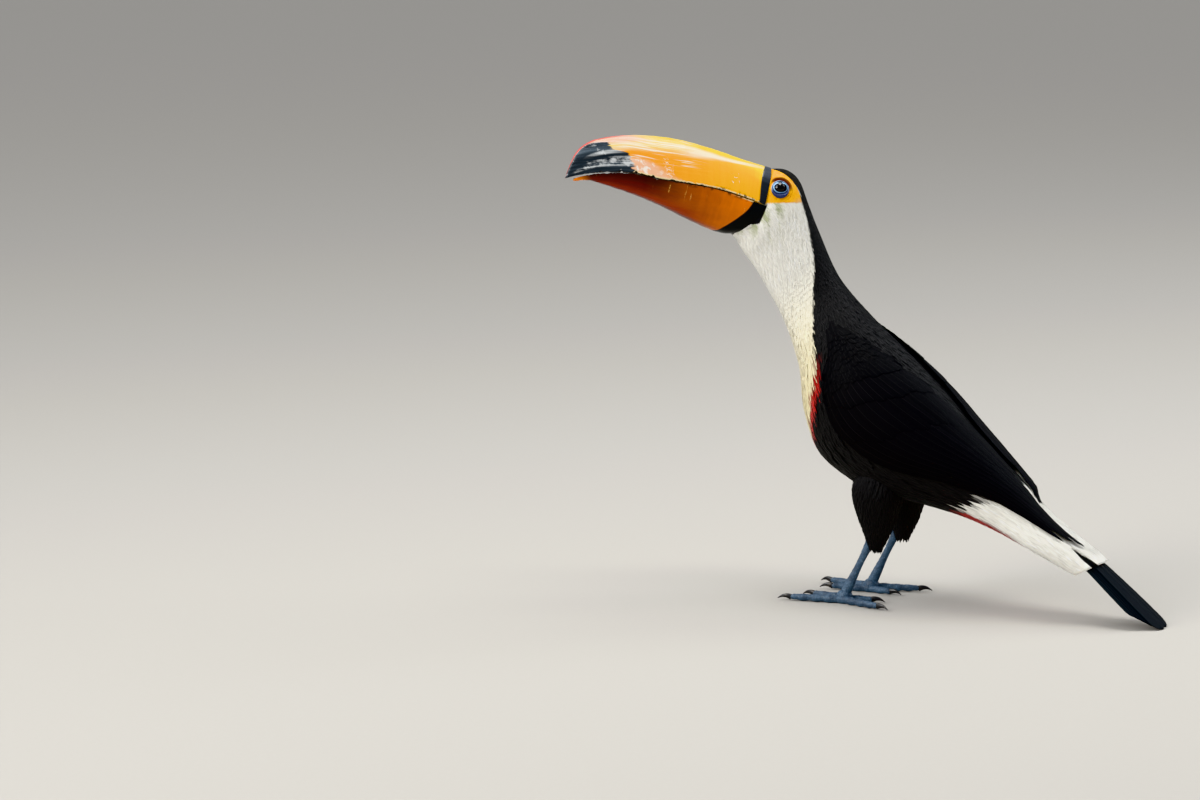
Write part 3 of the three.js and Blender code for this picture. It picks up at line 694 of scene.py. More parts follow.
class ToucanBill(bpy.types.PropertyGroup):
    """Bill."""

    yellow: tone("Top", "Colour of the upper bill near its ridge", "#ffda00")
    orange: tone("Side", "Colour of the upper bill near its cutting edge", "#ffb800")
    lower: tone("Lower bill", "Main colour of the lower bill", "#df7404")
    spot: tone("Spot", "Colour of the tip spot and the base band", "#262d34")
    wear: amount("Wear", "Depth of the chips along the cutting edges", 1.0, 0.0, 3.0)


class ToucanEyes(bpy.types.PropertyGroup):
    """Eyes and their bare rings."""

    radius: length("Eyeball radius", "Radius of the eyeball", EYE_RADIUS / 1000, 0.002, 0.01)
    ring: tone("Ring", "Colour of the bare ring", "#8ca6c2")
    rim: tone("Lid rim", "Colour of the lid's edge", "#a9d2f2")
    iris: tone("Iris", "Colour of the iris", "#0b0607")


class ToucanFeet(bpy.types.PropertyGroup):
    """Legs, toes and claws."""

    skin: tone("Skin", "Colour of the scaly skin", "#5d7790")
    scute: length("Scute", "Length of one scute on the front of the leg", 0.0042, 0.001, 0.01)


class ToucanStage(bpy.types.PropertyGroup):
    """Camera, lights and floor."""

    azimuth: bearing("Azimuth", "Bearing of the camera from the bird's front, over its left side", 118)
    elevation: bearing("Elevation", "Height of the camera over the horizon", 9)
    distance: length("Distance", "From the camera to the aim point, measured along the view", 3.3, 0.5, 20.0)
    lens: bpy.props.FloatProperty(name="Lens", description="Focal length on a 36 mm sensor", default=131.1,
                                  min=20, max=400, subtype="DISTANCE_CAMERA", unit="CAMERA")
    floor: tone("Floor", "Colour of the floor", "#b9b6b0")
    power: amount("Light", "Strength of the studio lights", 1.0, 0.0, 5.0)


GROUPS = {"toucan_plumage": ToucanPlumage, "toucan_bill": ToucanBill, "toucan_eyes": ToucanEyes,
          "toucan_feet": ToucanFeet, "toucan_stage": ToucanStage}


# ------------------------------------------------------------------ stage
AIM = np.array([0.1402, -0.1653, 0.1693])  # the point the camera looks at, in the row frame
LIT_POINT = (0, 0, 0.18)  # the point the soft boxes face
SKY_STRENGTH = 0.42
SUN = ((1.2, -1.5, 1.9), 1.35, 40)  # where it stands, strength, and how wide it looks in degrees
SOFT_BOXES = (
    # name, place in metres, size, watts, colour
    ("light_above", (-0.03, 0.08, 2.0), 0.9, 24, (1.0, 0.99, 0.96)),
    ("light_key", (2.1, -1.2, 1.2), 1.1, 36, (1.0, 0.98, 0.95)),
    ("light_back", (-1.9, 1.4, 1.8), 1.6, 28, (0.96, 0.98, 1.0)),
)
FLOOR_FLAT, FLOOR_REACH, FLOOR_RISE = 8.0, 14.0, 3.0  # flat to the first radius, so high at the second
FLOOR_PLACES = 96  # round each ring


def rotation_facing(back):
    """The rotation of a camera or light whose back points along a vector and whose top is up."""
    back = np.array(back, float) / np.linalg.norm(back)
    right = np.cross([0, 0, 1], back)
    right /= np.linalg.norm(right)
    return Matrix(np.stack([right, np.cross(back, right), back], 1).tolist())


def set_up(name, data, location, back):
    """A camera or light as an object at a place, with its back along a vector."""
    rig = bpy.data.objects.new(name, data)
    rig.location = location
    rig.rotation_euler = rotation_facing(back).to_euler()
    bpy.context.scene.collection.objects.link(rig)
    return rig


def floor_finish(colour):
    """Pale, plain, matt plaster with a fine tooth."""
    s = Shader("floor_plaster", Roughness=0.9, Specular_IOR_Level=0.15)
    tooth = s.noise(s.object_place(), 260.0, 3.0)
    base = s.colour(tooth, colour * 0.985, np.minimum(colour * 1.015, 1))
    return s.finish(base, height=tooth, distance=0.0002, strength=0.15)


def make_floor(colour):
    """Rings of places round the origin; the height is a power of the share of the way past the flat middle,
    so that there is no hard horizon."""
    near, far = np.geomspace(0.05, FLOOR_FLAT, 20), np.linspace(FLOOR_FLAT + 0.1, FLOOR_REACH, 59)
    radius = np.concatenate([[0.001], near, far])[:, None]
    height = FLOOR_RISE * np.clip((radius - FLOOR_FLAT) / (FLOOR_REACH - FLOOR_FLAT), 0, 1) ** 2.4
    round_ = turn(FLOOR_PLACES)
    disc = np.stack(np.broadcast_arrays(radius * np.cos(round_), radius * np.sin(round_), height), -1)
    points = np.concatenate([disc.reshape(-1, 3), [[0, 0, 0]]])
    j = np.arange(FLOOR_PLACES)
    middle = np.stack([np.full(FLOOR_PLACES, len(points) - 1), j, (j + 1) % FLOOR_PLACES], -1)
    floor = new_piece("floor", points, [grid_faces(len(radius), FLOOR_PLACES), middle], floor_finish(colour))


def make_stage(settings):
    """The camera, three soft boxes, a wide soft sun, a pale sky, and the floor."""
    az, el = settings.azimuth, settings.elevation
    back = np.array([math.sin(az) * math.cos(el), -math.cos(az) * math.cos(el), math.sin(el)])
    camera = bpy.data.cameras.new("camera")
    camera.lens, camera.sensor_width, camera.clip_start, camera.clip_end = settings.lens, 36.0, 0.05, 100.0
    bpy.context.scene.camera = set_up("camera", camera, AIM + back * settings.distance, back)

    for name, at, size, watts, tint in SOFT_BOXES:
        light = bpy.data.lights.new(name, "AREA")
        light.shape, light.size, light.energy, light.color = "SQUARE", size, watts * settings.power, tint
        set_up(name, light, at, np.subtract(at, LIT_POINT))
    towards, strength, width = SUN
    sun = bpy.data.lights.new("light_sun", "SUN")
    sun.energy, sun.angle = strength * settings.power, math.radians(width)
    set_up("light_sun", sun, (0, 0, 0), towards)

    world = bpy.data.worlds.new("studio")
    bpy.context.scene.world = world
    world.use_nodes = True
    sky = next(n for n in world.node_tree.nodes if n.type == "BACKGROUND")
    sky.inputs["Color"].default_value = (0.93, 0.95, 1.0, 1)
    sky.inputs["Strength"].default_value = SKY_STRENGTH * settings.power
    bpy.context.scene.view_settings.view_transform = "Khronos PBR Neutral"
    make_floor(np.array(settings.floor))


# ------------------------------------------------------------------ skin
def unwrap_body(u, a):
    """The skin's unwrap: angle across, ring number up, in the lower four fifths of the map."""
    across = (np.asarray(a) / (2 * math.pi) + 0.5) % 1
    return np.stack([0.005 + 0.99 * across, 0.01 + 0.78 * np.asarray(u) / RING["covert_tips"]], -1)


def unwrap_thigh(side):
    """The thighs' unwrap: two strips over the body's."""
    def unwrap(v, b):
        across = (np.asarray(b) / (2 * math.pi)) % 1
        return np.stack([0.02 + 0.46 * across + (0 if side > 0 else 0.5), 0.82 + 0.15 * np.asarray(v)], -1)
    return unwrap


def sculpt(points, bare):
    """How far the bare face stands out, in mm: a fold over the ring with a crease under it, a soft crease
    below the ring, fine rings of wrinkles and grains, and a hollow where the eye sits."""
    y, z = points[..., 1] - ORBIT_CENTRE[0], points[..., 2] - ORBIT_CENTRE[1]
    reach, round_ = np.hypot(y, z), np.arctan2(z, y)
    over = smoothstep(np.sin(round_ + 0.25 * np.cos(round_)), -0.25, 0.55)
    fold_ = bell(reach, 9.3, 1.1) * (0.25 + 0.75 * over) - 0.8 * bell(reach, 7.7, 0.55)
    under = -0.35 * bell(reach, 9.9, 0.7) * (1 - over)
    rings = 0.09 * np.sin(reach * 4.2 + 2 * wobble(points, 5.0, 8))
    rings = rings * smoothstep(reach, 7.5, 9) * smoothstep(-reach, -20, -11)
    grain = 0.07 * wobble(points, 1.5, 9) + 0.12 * wobble(points, 3.6, 10)
    hollow = -2.6 * (1 - smoothstep(reach, 4.2, 6.6))
    return bare * (0.75 * fold_ + under + rings + grain) + hollow * (np.abs(points[..., 0]) > 12)


SKIN_AROUND = 264
THIGH_ROWS, THIGH_AROUND = 60, 72


def skin_rows():
    """Ring numbers of the skin's rows: close on the head, wider on the body."""
    head, rest = np.linspace(0.45, HEAD_END, 158), np.linspace(HEAD_END, RING["covert_tips"] - 0.06, 118)
    return np.concatenate([head, rest[1:]])


def make_skin(depth):
    """One closed skin: the body's rings from inside the bill to the tail's root, with the folded wings' bulk,
    and the thighs joined on. It dips in behind the bill's base."""
    u, a = np.broadcast_arrays(skin_rows()[:, None], turn(SKIN_AROUND) - math.pi)
    base = body_surface(u, a)
    at = areas(u, a, base)
    bare = at["bare"]
    coated = 1 - smoothstep(np.maximum(bare, at["chin"]), 0.1, 0.9)
    grow = -coat_depth(u, depth) * coated - 0.2 + sculpt(base, bare) - 5.0 * smoothstep(-u, -1.3, -0.5)
    shells, maps = [closed_tube(coat_surface(u, a, grow))], [with_poles(unwrap_body(u, a))]
    tints, bares = [with_poles(markings(u, a, base))], [with_poles(bare)]
    for _, side in SIDES:
        v, b = np.broadcast_arrays(np.linspace(0, 1, THIGH_ROWS)[:, None], turn(THIGH_AROUND))
        shells.append(closed_tube(thigh_surface(side)(v, b, -depth)))
        maps.append(with_poles(unwrap_thigh(side)(v, b)))
        tints.append(np.tile(TINT["black"], (len(maps[-1]), 1)))
        bares.append(np.zeros(len(maps[-1])))
    nodes = ["head", "neck", "trunk", "upper_tail_coverts", "under_tail_coverts", "thigh_left", "thigh_right"]
    dress("skin", *join_shells(shells), skin_finish(), "plumage_black", nodes, uv=np.concatenate(maps),
          values={"tint": np.concatenate(tints), "bare": np.concatenate(bares)})


def skin_finish():
    """Down-covered skin in the coat's colours; the bare face is granular, a little oily, and flecked."""
    s = Shader("skin", Specular_IOR_Level=0.3, Subsurface_Weight=0.06, Subsurface_Scale=0.001,
               Subsurface_Radius=(1.0, 0.35, 0.15))
    here, bare = s.object_place(), s.attribute("bare")
    tint = s.attribute("tint", "Color")
    grains = s.cells(here, 900.0)
    fine = s.noise(here, 1400.0, 4.0)
    blotch = s.noise(here, 260.0, 3.0).ease(0.35, 0.7)
    speck = s.colour(bare * blotch * 0.4, tint, s.colour(1.0, tint, (0.9, 0.6, 0.4), "MULTIPLY"))
    pale = s.colour(bare * fine.ease(0.62, 0.8) * 0.3, speck, (1.0, 0.55, 0.06))
    down = s.noise(here, 620.0, 2.0)
    height = bare * (1.0 - grains) * 0.7 + (1.0 - bare) * down + fine * 0.2
    return s.finish(pale, 0.62 - bare * 0.2, height, 0.00022, 0.7)


# ------------------------------------------------------------------ feathers
VANE_SHAPES = {
    # stations along a feather from root to tip, and its half width there as a share of the widest
    "hair": ((0.0, 0.5), (0.75, 1.0)),
    "tuft": ((0.0, 0.4, 0.78), (0.7, 1.0, 0.62)),
    "round": ((0.0, 0.3, 0.62, 0.86, 0.965), (0.6, 0.95, 1.0, 0.78, 0.45)),
    "quill": ((0.0, 0.1, 0.22, 0.35, 0.48, 0.61, 0.74, 0.84, 0.91, 0.96, 0.985),
              (0.45, 0.7, 0.9, 0.98, 1.0, 1.0, 0.97, 0.88, 0.72, 0.5, 0.32)),
}
# Places across a long feather; the outer two on each side keep its edges crisp
QUILL_RIBS = (-1, -0.965, -0.75, -0.5, -0.25, 0, 0.25, 0.5, 0.75, 0.965, 1)
SEQUENCE = (0.8191725134, 0.6710436067, 0.5497004779)  # 1 / g, 1 / g^2 and 1 / g^3, where g^4 = g + 1
OWN_NUMBER = 0.618  # from one feather's own number to the next one's
PATCH = (0.0014, 0.0028)  # half the width, and the height, of a feather's patch on the map


def lay_feathers(surface, unwrap, p, q, length_, half, swing, root, tip, tint, shape,
                 ribs=(-1, 0, 1), arch=0.3, curl=2.0):
    """Closed vanes on a surface with parameters p and q. From its root each runs over the surface for its
    length in mm, swung from the p direction. At distance d and offset w its place is p + (d cos - w sin) /
    |dp| and q + (d sin + w cos) / |dq|; its height goes from root to tip as a power of d, plus an arch over
    the middle. Returns the points and faces, and for each point the feather's number, its tint, how far along
    and across it lies in metres, its place on the map, and whether it is shaded smooth."""
    stations, outline = (np.array(row, float) for row in VANE_SHAPES[shape])
    ribs = np.array(ribs, float)
    count, rows, columns = len(p), len(stations), len(ribs)
    step = 1e-3
    here = surface(p, q)
    along = np.linalg.norm(surface(p + step, q) - here, axis=-1)[:, None] / step
    across = np.linalg.norm(surface(p, q + step) - here, axis=-1)[:, None] / step
    t = np.append(np.repeat(stations, columns), 1.0)
    w = np.append((outline[:, None] * ribs).ravel(), 0.0)
    crown = np.append((outline[:, None] * (1 - ribs ** 2)).ravel(), 0.0)
    spread = np.append(np.tile(ribs, rows), 0.0)
    d, off = length_[:, None] * t, half[:, None] * w
    c, s = np.cos(swing)[:, None], np.sin(swing)[:, None]
    grow = root[:, None] + (tip - root)[:, None] * t ** curl + arch * half[:, None] * crown
    points = surface(p[:, None] + (d * c - off * s) / along, q[:, None] + (d * s + off * c) / across, grow)
    points = points.reshape(-1, 3)
    start = (np.arange(count) * len(t))[:, None, None]
    faces = [(group[None] + start).reshape(-1, group.shape[1]) for group in vane_faces(rows, columns)]
    feather = np.repeat(np.arange(count), len(t))
    patch = np.stack([np.tile(spread, count) * PATCH[0], np.tile(t - 0.5, count) * PATCH[1]], -1)
    vane = np.stack([np.tile(t, count) * length_[feather], np.tile(spread, count) * half[feather]], -1) / 1000
    return {"points": points, "faces": outward(points, faces), "feather": feather, "tint": tint[feather],
            "vane": vane, "uv": unwrap(p, q)[feather] + patch,
            "smooth": np.full(len(points), shape == "quill")}


def vane_faces(rows, columns):
    """Corners of one closed vane: quads over and under between stations, a cap at the root and a fan at the
    tip."""
    i = np.arange(rows - 1)[:, None] * columns
    j = np.arange(columns - 1)[None, :]
    top = np.stack([i + j, i + j + 1, i + j + 1 + columns, i + j + columns], -1).reshape(-1, 4)
    i = i[:, 0]
    under = np.stack([i + columns - 1, i, i + columns, i + 2 * columns - 1], -1)
    j = np.arange(1, columns - 1)
    root = np.stack([0 * j, j + 1, j], -1)
    last, end = (rows - 1) * columns, rows * columns
    j = np.arange(columns - 1)
    tip = np.stack([last + j, last + j + 1, 0 * j + end], -1)
    return np.concatenate([top, under]), np.concatenate([root, tip, [[last + columns - 1, last, end]]])


def scatter(surface, density, p_range, q_range, seed):
    """Roots spread evenly over a surface: points of a low-discrepancy sequence in p and q, each kept with a
    chance that grows with the area it stands for and the density wanted there, in roots per square mm, then
    nudged by up to half the distance between roots."""
    def wanted(count):
        grid = (np.outer(np.arange(1, count + 1), SEQUENCE) + 0.137 * seed) % 1
        p = p_range[0] + grid[:, 0] * (p_range[1] - p_range[0])
        q = q_range[0] + grid[:, 1] * (q_range[1] - q_range[0])
        here, step = surface(p, q), 1e-3
        cross = np.cross(surface(p + step, q) - here, surface(p, q + step) - here)
        share = (p_range[1] - p_range[0]) * (q_range[1] - q_range[0]) / count / step ** 2
        return p, q, grid[:, 2], np.linalg.norm(cross, axis=-1) * share * density(p, q)

    trial = 6000
    peak = np.percentile(wanted(trial)[3], 99.8)
    p, q, chance, need = wanted(int(trial * max(peak, 1e-3)) + 64)
    keep = chance < need
    spread = 0.9 / np.sqrt(len(p) * need[keep])
    nudge = np.random.default_rng(SEED + seed).uniform(-0.5, 0.5, (2, keep.sum())) * spread
    return p[keep] + nudge[0] * (p_range[1] - p_range[0]), q[keep] + nudge[1] * (q_range[1] - q_range[0])


# ------------------------------------------------------------------ coat
# Per ring: feather length and half width in mm on the plain body, and the half width of the finer white tufts
COAT_LENGTH = [2.4, 2.6, 3.0, 3.6, 4.2, 4.8, 5.6, 7.0, 9.5, 12, 13.5, 14.5, 15, 16, 13, 5]
COAT_HALF = [0.4, 0.4, 0.42, 0.45, 0.5, 0.62, 0.8, 1.1, 1.5, 1.9, 2.2, 2.3, 2.2, 2.0, 1.8, 1.6]
COAT_FINE = [0.34, 0.34, 0.35, 0.36, 0.4, 0.45, 0.55, 0.65, 0.8, 0.9, 1.0, 1.0, 1.0, 0.95, 0.9, 0.85]
RING_PITCH = 42.0  # mm between the last two rings
VANE_AREA = 1.2  # a vane's area as a multiple of its length times its half width


def clear_of_bill(points):
    """1 where the coat is free of the bill: behind its rim, which is a line in y over z."""
    return (points[..., 1] > np.interp(points[..., 2], *RIM_LINE)) | (points[..., 2] < 279)


def clear_of_wing(u, a):
    """1 outside the folded wings."""
    clear = True
    for side in WING_TIP:
        along, across = wing_place(side, u, a)
        low = 0.07 + 0.25 * smoothstep(along, 0.3, 0.7)
        clear = clear & ((along < 0.08) | (along > WING_COVERED[side]) | (across < low) | (across > 0.93))
    return clear


def max_of(at, *names):
    """The strongest of some markings at each place."""
    return np.maximum.reduce([at[name] for name in names])


COATS = {
    # name: slot, rings from and to, half widths, shape, share of the length, tip height, belongs
    "coat_cheeks": ("plumage_white", 0.75, 5.6, COAT_FINE, "hair", 1.3, 0.05, lambda at: at["bib"] > 0.5),
    "coat_crown": ("plumage_black", 1.2, 5.6, COAT_FINE, "hair", 1.3, 0.08, lambda at: at["bib"] <= 0.5),
    "coat_bib": ("plumage_white", 5.6, 9.9, COAT_FINE, "tuft", 1.3, 0.1,
                 lambda at: max_of(at, "bib", "border") > 0.5),
    "coat_nape": ("plumage_black", 5.6, 8.0, COAT_HALF, "tuft", 1.0, 0.12,
                  lambda at: max_of(at, "bib", "border") <= 0.5),
    "coat_body": ("plumage_black", 8.0, 13.6, COAT_HALF, "tuft", 1.15, 0.2,
                  lambda at: max_of(at, "bib", "border", "rump", "under") <= 0.5),
    "coat_rump": ("plumage_white", 12.2, 14.75, COAT_FINE, "tuft", 1.15, 0.16, lambda at: at["rump"] > 0.5),
    "coat_undertail": ("plumage_red", 12.2, 14.75, COAT_FINE, "tuft", 1.0, 0.3, lambda at: at["under"] > 0.5),
}


def make_coat(name, settings, seed):
    """One coat piece: roots scattered over the body's surface where its marking lies, each with a vane or
    hair-like tuft whose length and width follow the ring number."""
    slot, first, last, halves, shape, stretch, tip, belongs = COATS[name]

    def density(u, a):
        points = body_surface(u, a)
        at = areas(u, a, points)
        here = belongs(at) & (max_of(at, "bare", "chin") < 0.5) & clear_of_bill(points) & clear_of_wing(u, a)
        return here * settings.layers / (VANE_AREA * spline(COAT_LENGTH, u) * stretch * spline(halves, u))

    u, a = scatter(coat_surface, density, (first, last), (-math.pi, math.pi), seed)
    draw = np.random.default_rng(SEED + seed)
    tint = feather_colours(u, a, body_surface(u, a)) * draw.normal(1.0, 0.07, (len(u), 1))
    length_ = spline(COAT_LENGTH, u) * stretch * draw.uniform(0.82, 1.18, len(u))
    half = spline(halves, u) * draw.uniform(0.8, 1.2, len(u))
    swing = draw.normal(0, 0.1, len(u))
    # none reaches past the coverts' tips, and they are shorter where the tail's edge shows
    room = (RING["covert_tips"] - 0.03 - 0.55 * bell(from_parting(a), 0, math.radians(16)) - u) * RING_PITCH
    length_ = np.minimum(length_, np.maximum(room, 1.5))
    root = -coat_depth(u, settings.depth * 1000)
    tips = tip * settings.fluff * draw.uniform(0.4, 1.6, len(u)) - 1.5 * smoothstep(u, 14.3, 14.9)
    lot = lay_feathers(coat_surface, unwrap_body, u, a, length_, half, swing, root, tips, tint, shape,
                       arch=0.12)
    coat_piece(name, [lot], slot)
    return len(u)


FINISHES = {}


def finish_once(name, make, *settings):
    """A finish that several pieces share, made when the first of them asks for it."""
    if name not in FINISHES:
        FINISHES[name] = make(*settings)
    return FINISHES[name]


def coat_piece(name, lots, slot, nodes=()):
    """Lots of feathers as one piece. Their finish reads each feather's tint, and as the vane the distance
    along it, the distance across it and a number of its own."""
    points, faces = join_shells([(lot["points"], lot["faces"]) for lot in lots])
    firsts = np.cumsum([0] + [lot["feather"][-1] + 1 for lot in lots])
    feather = np.concatenate([lot["feather"] + first for lot, first in zip(lots, firsts)])
    tint, vane, uv, smooth = (np.concatenate([lot[key] for lot in lots])
                              for key in ("tint", "vane", "uv", "smooth"))
    values = {"tint": np.clip(tint, 0, 1), "vane": np.column_stack([vane, feather * OWN_NUMBER % 1])}
    dress(name, points, faces, finish_once(slot, feather_finish, slot), slot, nodes, values=values, uv=uv,
          smooth=np.concatenate([smooth[group[:, 0]] for group in faces]))


FEATHER_LOOKS = {
    # slot: roughness, sheen, barb pitch in mm, contrast of the barbs, specular level
    "plumage_white": (0.8, 0.5, 0.5, 0.06, 0.2),
    "plumage_black": (0.6, 0.03, 0.6, 0.2, 0.3),
    "plumage_red": (0.7, 0.25, 0.5, 0.18, 0.3),
    "flight_feathers": (0.55, 0.0, 0.7, 0.3, 0.12),
}


def feather_finish(slot):
    """Feather: barbs run slantwise from the shaft to the edge, with a fine shaft, and each feather a little
    lighter or darker than the next."""
    rough, sheen, pitch, contrast, gloss = FEATHER_LOOKS[slot]
    s = Shader("feather_" + slot, Sheen_Weight=sheen, Sheen_Roughness=0.4, Specular_IOR_Level=gloss,
               Subsurface_Weight=0.1 if slot == "plumage_white" else 0.0, Subsurface_Scale=0.0005,
               Subsurface_Radius=(1.0, 0.95, 0.85))
    d, w, own = s.axes(s.attribute("vane", "Vector"))
    tint = s.attribute("tint", "Color")
    slant = (d - abs(w) * 1.3) * (2000 * math.pi / pitch)
    clumps = s.noise(s.vector(d * 220.0 - abs(w) * 300.0, w * 60.0, own * 40.0), 1.0, 3.0)
    barbs = slant.sine() * 0.5 + 0.5
    shaft = abs(w).ease(0.00022, 0.0001)
    dark = (1.0 - barbs * 0.5 - clumps * 0.7).clipped() * contrast * 2.0
    shade = s.colour(dark.clipped(), tint, s.colour(1.0, tint, (0.35, 0.35, 0.38), "MULTIPLY"))
    lit = s.colour(shaft * 0.05, shade, s.colour(1.0, tint, (0.3, 0.3, 0.3), "ADD"))
    return s.finish(lit, rough + clumps * 0.15 - 0.07, barbs * 0.5 + clumps + shaft, 0.00012, 0.5)


def make_thigh_coat(settings):
    """The thighs' short feathers, shorter and narrower towards the ankle."""
    lots, shade = [], np.random.default_rng(SEED + 43)
    for _, side in SIDES:
        surface = thigh_surface(side)

        def density(v, b):
            return settings.layers / (VANE_AREA * (8.0 - 3.5 * v) * (1.6 - 0.8 * v)) + 0 * b

        v, b = scatter(surface, density, (0.03, 1.0), (0.0, 2 * math.pi), 11 if side > 0 else 12)
        draw = np.random.default_rng(SEED + 40 + int(side))
        length_ = (8.0 - 3.5 * v) * draw.uniform(0.8, 1.2, len(v))
        half = (1.6 - 0.8 * v) * draw.uniform(0.8, 1.2, len(v))
        root, tip = np.full(len(v), -0.9), draw.uniform(0.1, 0.8, len(v)) * settings.fluff
        swing, tint = draw.normal(0, 0.15, len(v)), TINT["black"] * shade.normal(1, 0.12, (len(v), 1))
        lots.append(lay_feathers(surface, unwrap_thigh(side), v, b, length_, half, swing, root, tip, tint,
                                 "tuft", arch=0.35))
    coat_piece("coat_thighs", lots, "plumage_black")


# ------------------------------------------------------------------ wings
def wing_ring(side, s, q):
    """Ring number and angle on a folded wing: s from wrist to tip, q from its lower to its upper edge."""
    low, high = wing_edges(side, s)
    return WING_WRIST + s * (WING_TIP[side] - WING_WRIST), side * mix(low, high, q)


def wing_surface(side):
    """The folded wing. Its tip may be tucked under the rump's feathers."""
    def surface(s, q, grow=0.0):
        u, a = wing_ring(side, s, q)
        rise = wing_dome(s, q) * smoothstep(s, -0.045, 0.05) + saddle_height(u, a)
        return body_surface(u, a, rise - WING_TUCK[side] * smoothstep(s, 0.82, 0.92) + grow)
    return surface


def unwrap_wing(side):
    """The wing's unwrap is the skin's."""
    return lambda s, q: unwrap_body(*wing_ring(side, s, q))


# Rows of wing feathers: s and q of the first and last root, how many, length and half width in mm of the
# first and last, height of the roots, height of the tips, swing in degrees of the first and last
WING_ROWS = {
    "primaries": ((0.50, 0.14), (0.56, 0.80), 9, (131, 103), (11.0, 11.5), -1.0, 0.3, (-4, 1)),
    "secondaries": ((0.30, 0.05), (0.40, 0.62), 9, (92, 98), (8.0, 9.0), -0.8, -0.4, (2, 2)),
    "tertials": ((0.36, 0.62), (0.42, 0.92), 4, (88, 70), (9.5, 9.0), -0.7, -0.2, (0, 0)),
    "greater_coverts": ((0.18, 0.05), (0.31, 0.90), 11, (42, 44), (6.0, 6.6), -0.7, -0.25, (2, 2)),
    "middle_coverts": ((0.115, 0.05), (0.215, 0.92), 14, (28, 29), (4.6, 5.0), -0.6, -0.1, (2, 2)),
    "lesser_coverts": ((0.065, 0.05), (0.145, 0.94), 17, (19, 20), (3.7, 4.0), -0.4, 0.0, (2, 2)),
}
COVERT_LAYERS = 3.8


def make_wing(name, side):
    """One folded wing: rows of long feathers from the tip's up to the shoulder's, each row over the one
    behind it and each feather over its lower neighbour, then small coverts scattered over the front."""
    surface, unwrap, lots = wing_surface(side), unwrap_wing(side), []
    draw = np.random.default_rng(SEED + 60)
    for (s0, q0), (s1, q1), count, spans, halves, root, tip, swings in WING_ROWS.values():
        k = np.linspace(0, 1, count)
        over = 0.4 * k
        length_ = mix(*spans, k) * draw.uniform(0.92, 1.08, count)
        swing = np.radians(mix(*swings, k) + draw.normal(0, 0.8, count))
        tint = TINT["black"] * draw.normal(1.15, 0.08, (count, 1))
        lots.append(lay_feathers(surface, unwrap, mix(s0, s1, k), mix(q0, q1, k), length_, mix(*halves, k),
                                 swing, root + over, tip + over, tint, "quill", QUILL_RIBS, 0.07, 1.0))

    def density(s, q):
        return COVERT_LAYERS / (VANE_AREA * 11 * 2.2) + 0 * s

    s, q = scatter(surface, density, (-0.035, 0.14), (0.0, 1.0), 21)
    length_, half = draw.uniform(9, 13, len(s)), draw.uniform(1.8, 2.6, len(s))
    swing, tip = draw.normal(0.03, 0.08, len(s)), 0.4 + draw.uniform(0, 0.2, len(s))
    tint = TINT["black"] * draw.normal(1.0, 0.08, (len(s), 1))
    lots.append(lay_feathers(surface, unwrap, s, q, length_, half, swing, 0 * s - 0.2, tip, tint, "round",
                             arch=0.035))
    coat_piece("wing_" + name, lots, "flight_feathers", ["wing_coverts_" + name, "wing_flights_" + name])


# ------------------------------------------------------------------ tail
def tail_place(d, across, depth):
    """A place on the tail: d along it, across to the side, depth under its top face; the tail droops from its
    root's pitch to its tip's and is cambered sideways."""
    share = d / TAIL_LENGTH
    pitch, here = (mix(TAIL_PITCH_ROOT, TAIL_PITCH_TIP, part) for part in (share / 2, share))
    drop = depth + across ** 2 / (2 * TAIL_CAMBER)
    return np.stack([across + 0 * drop, TAIL_ROOT[0] + d * np.cos(pitch) - drop * np.sin(here),
                     TAIL_ROOT[1] - d * np.sin(pitch) - drop * np.cos(here)], -1)


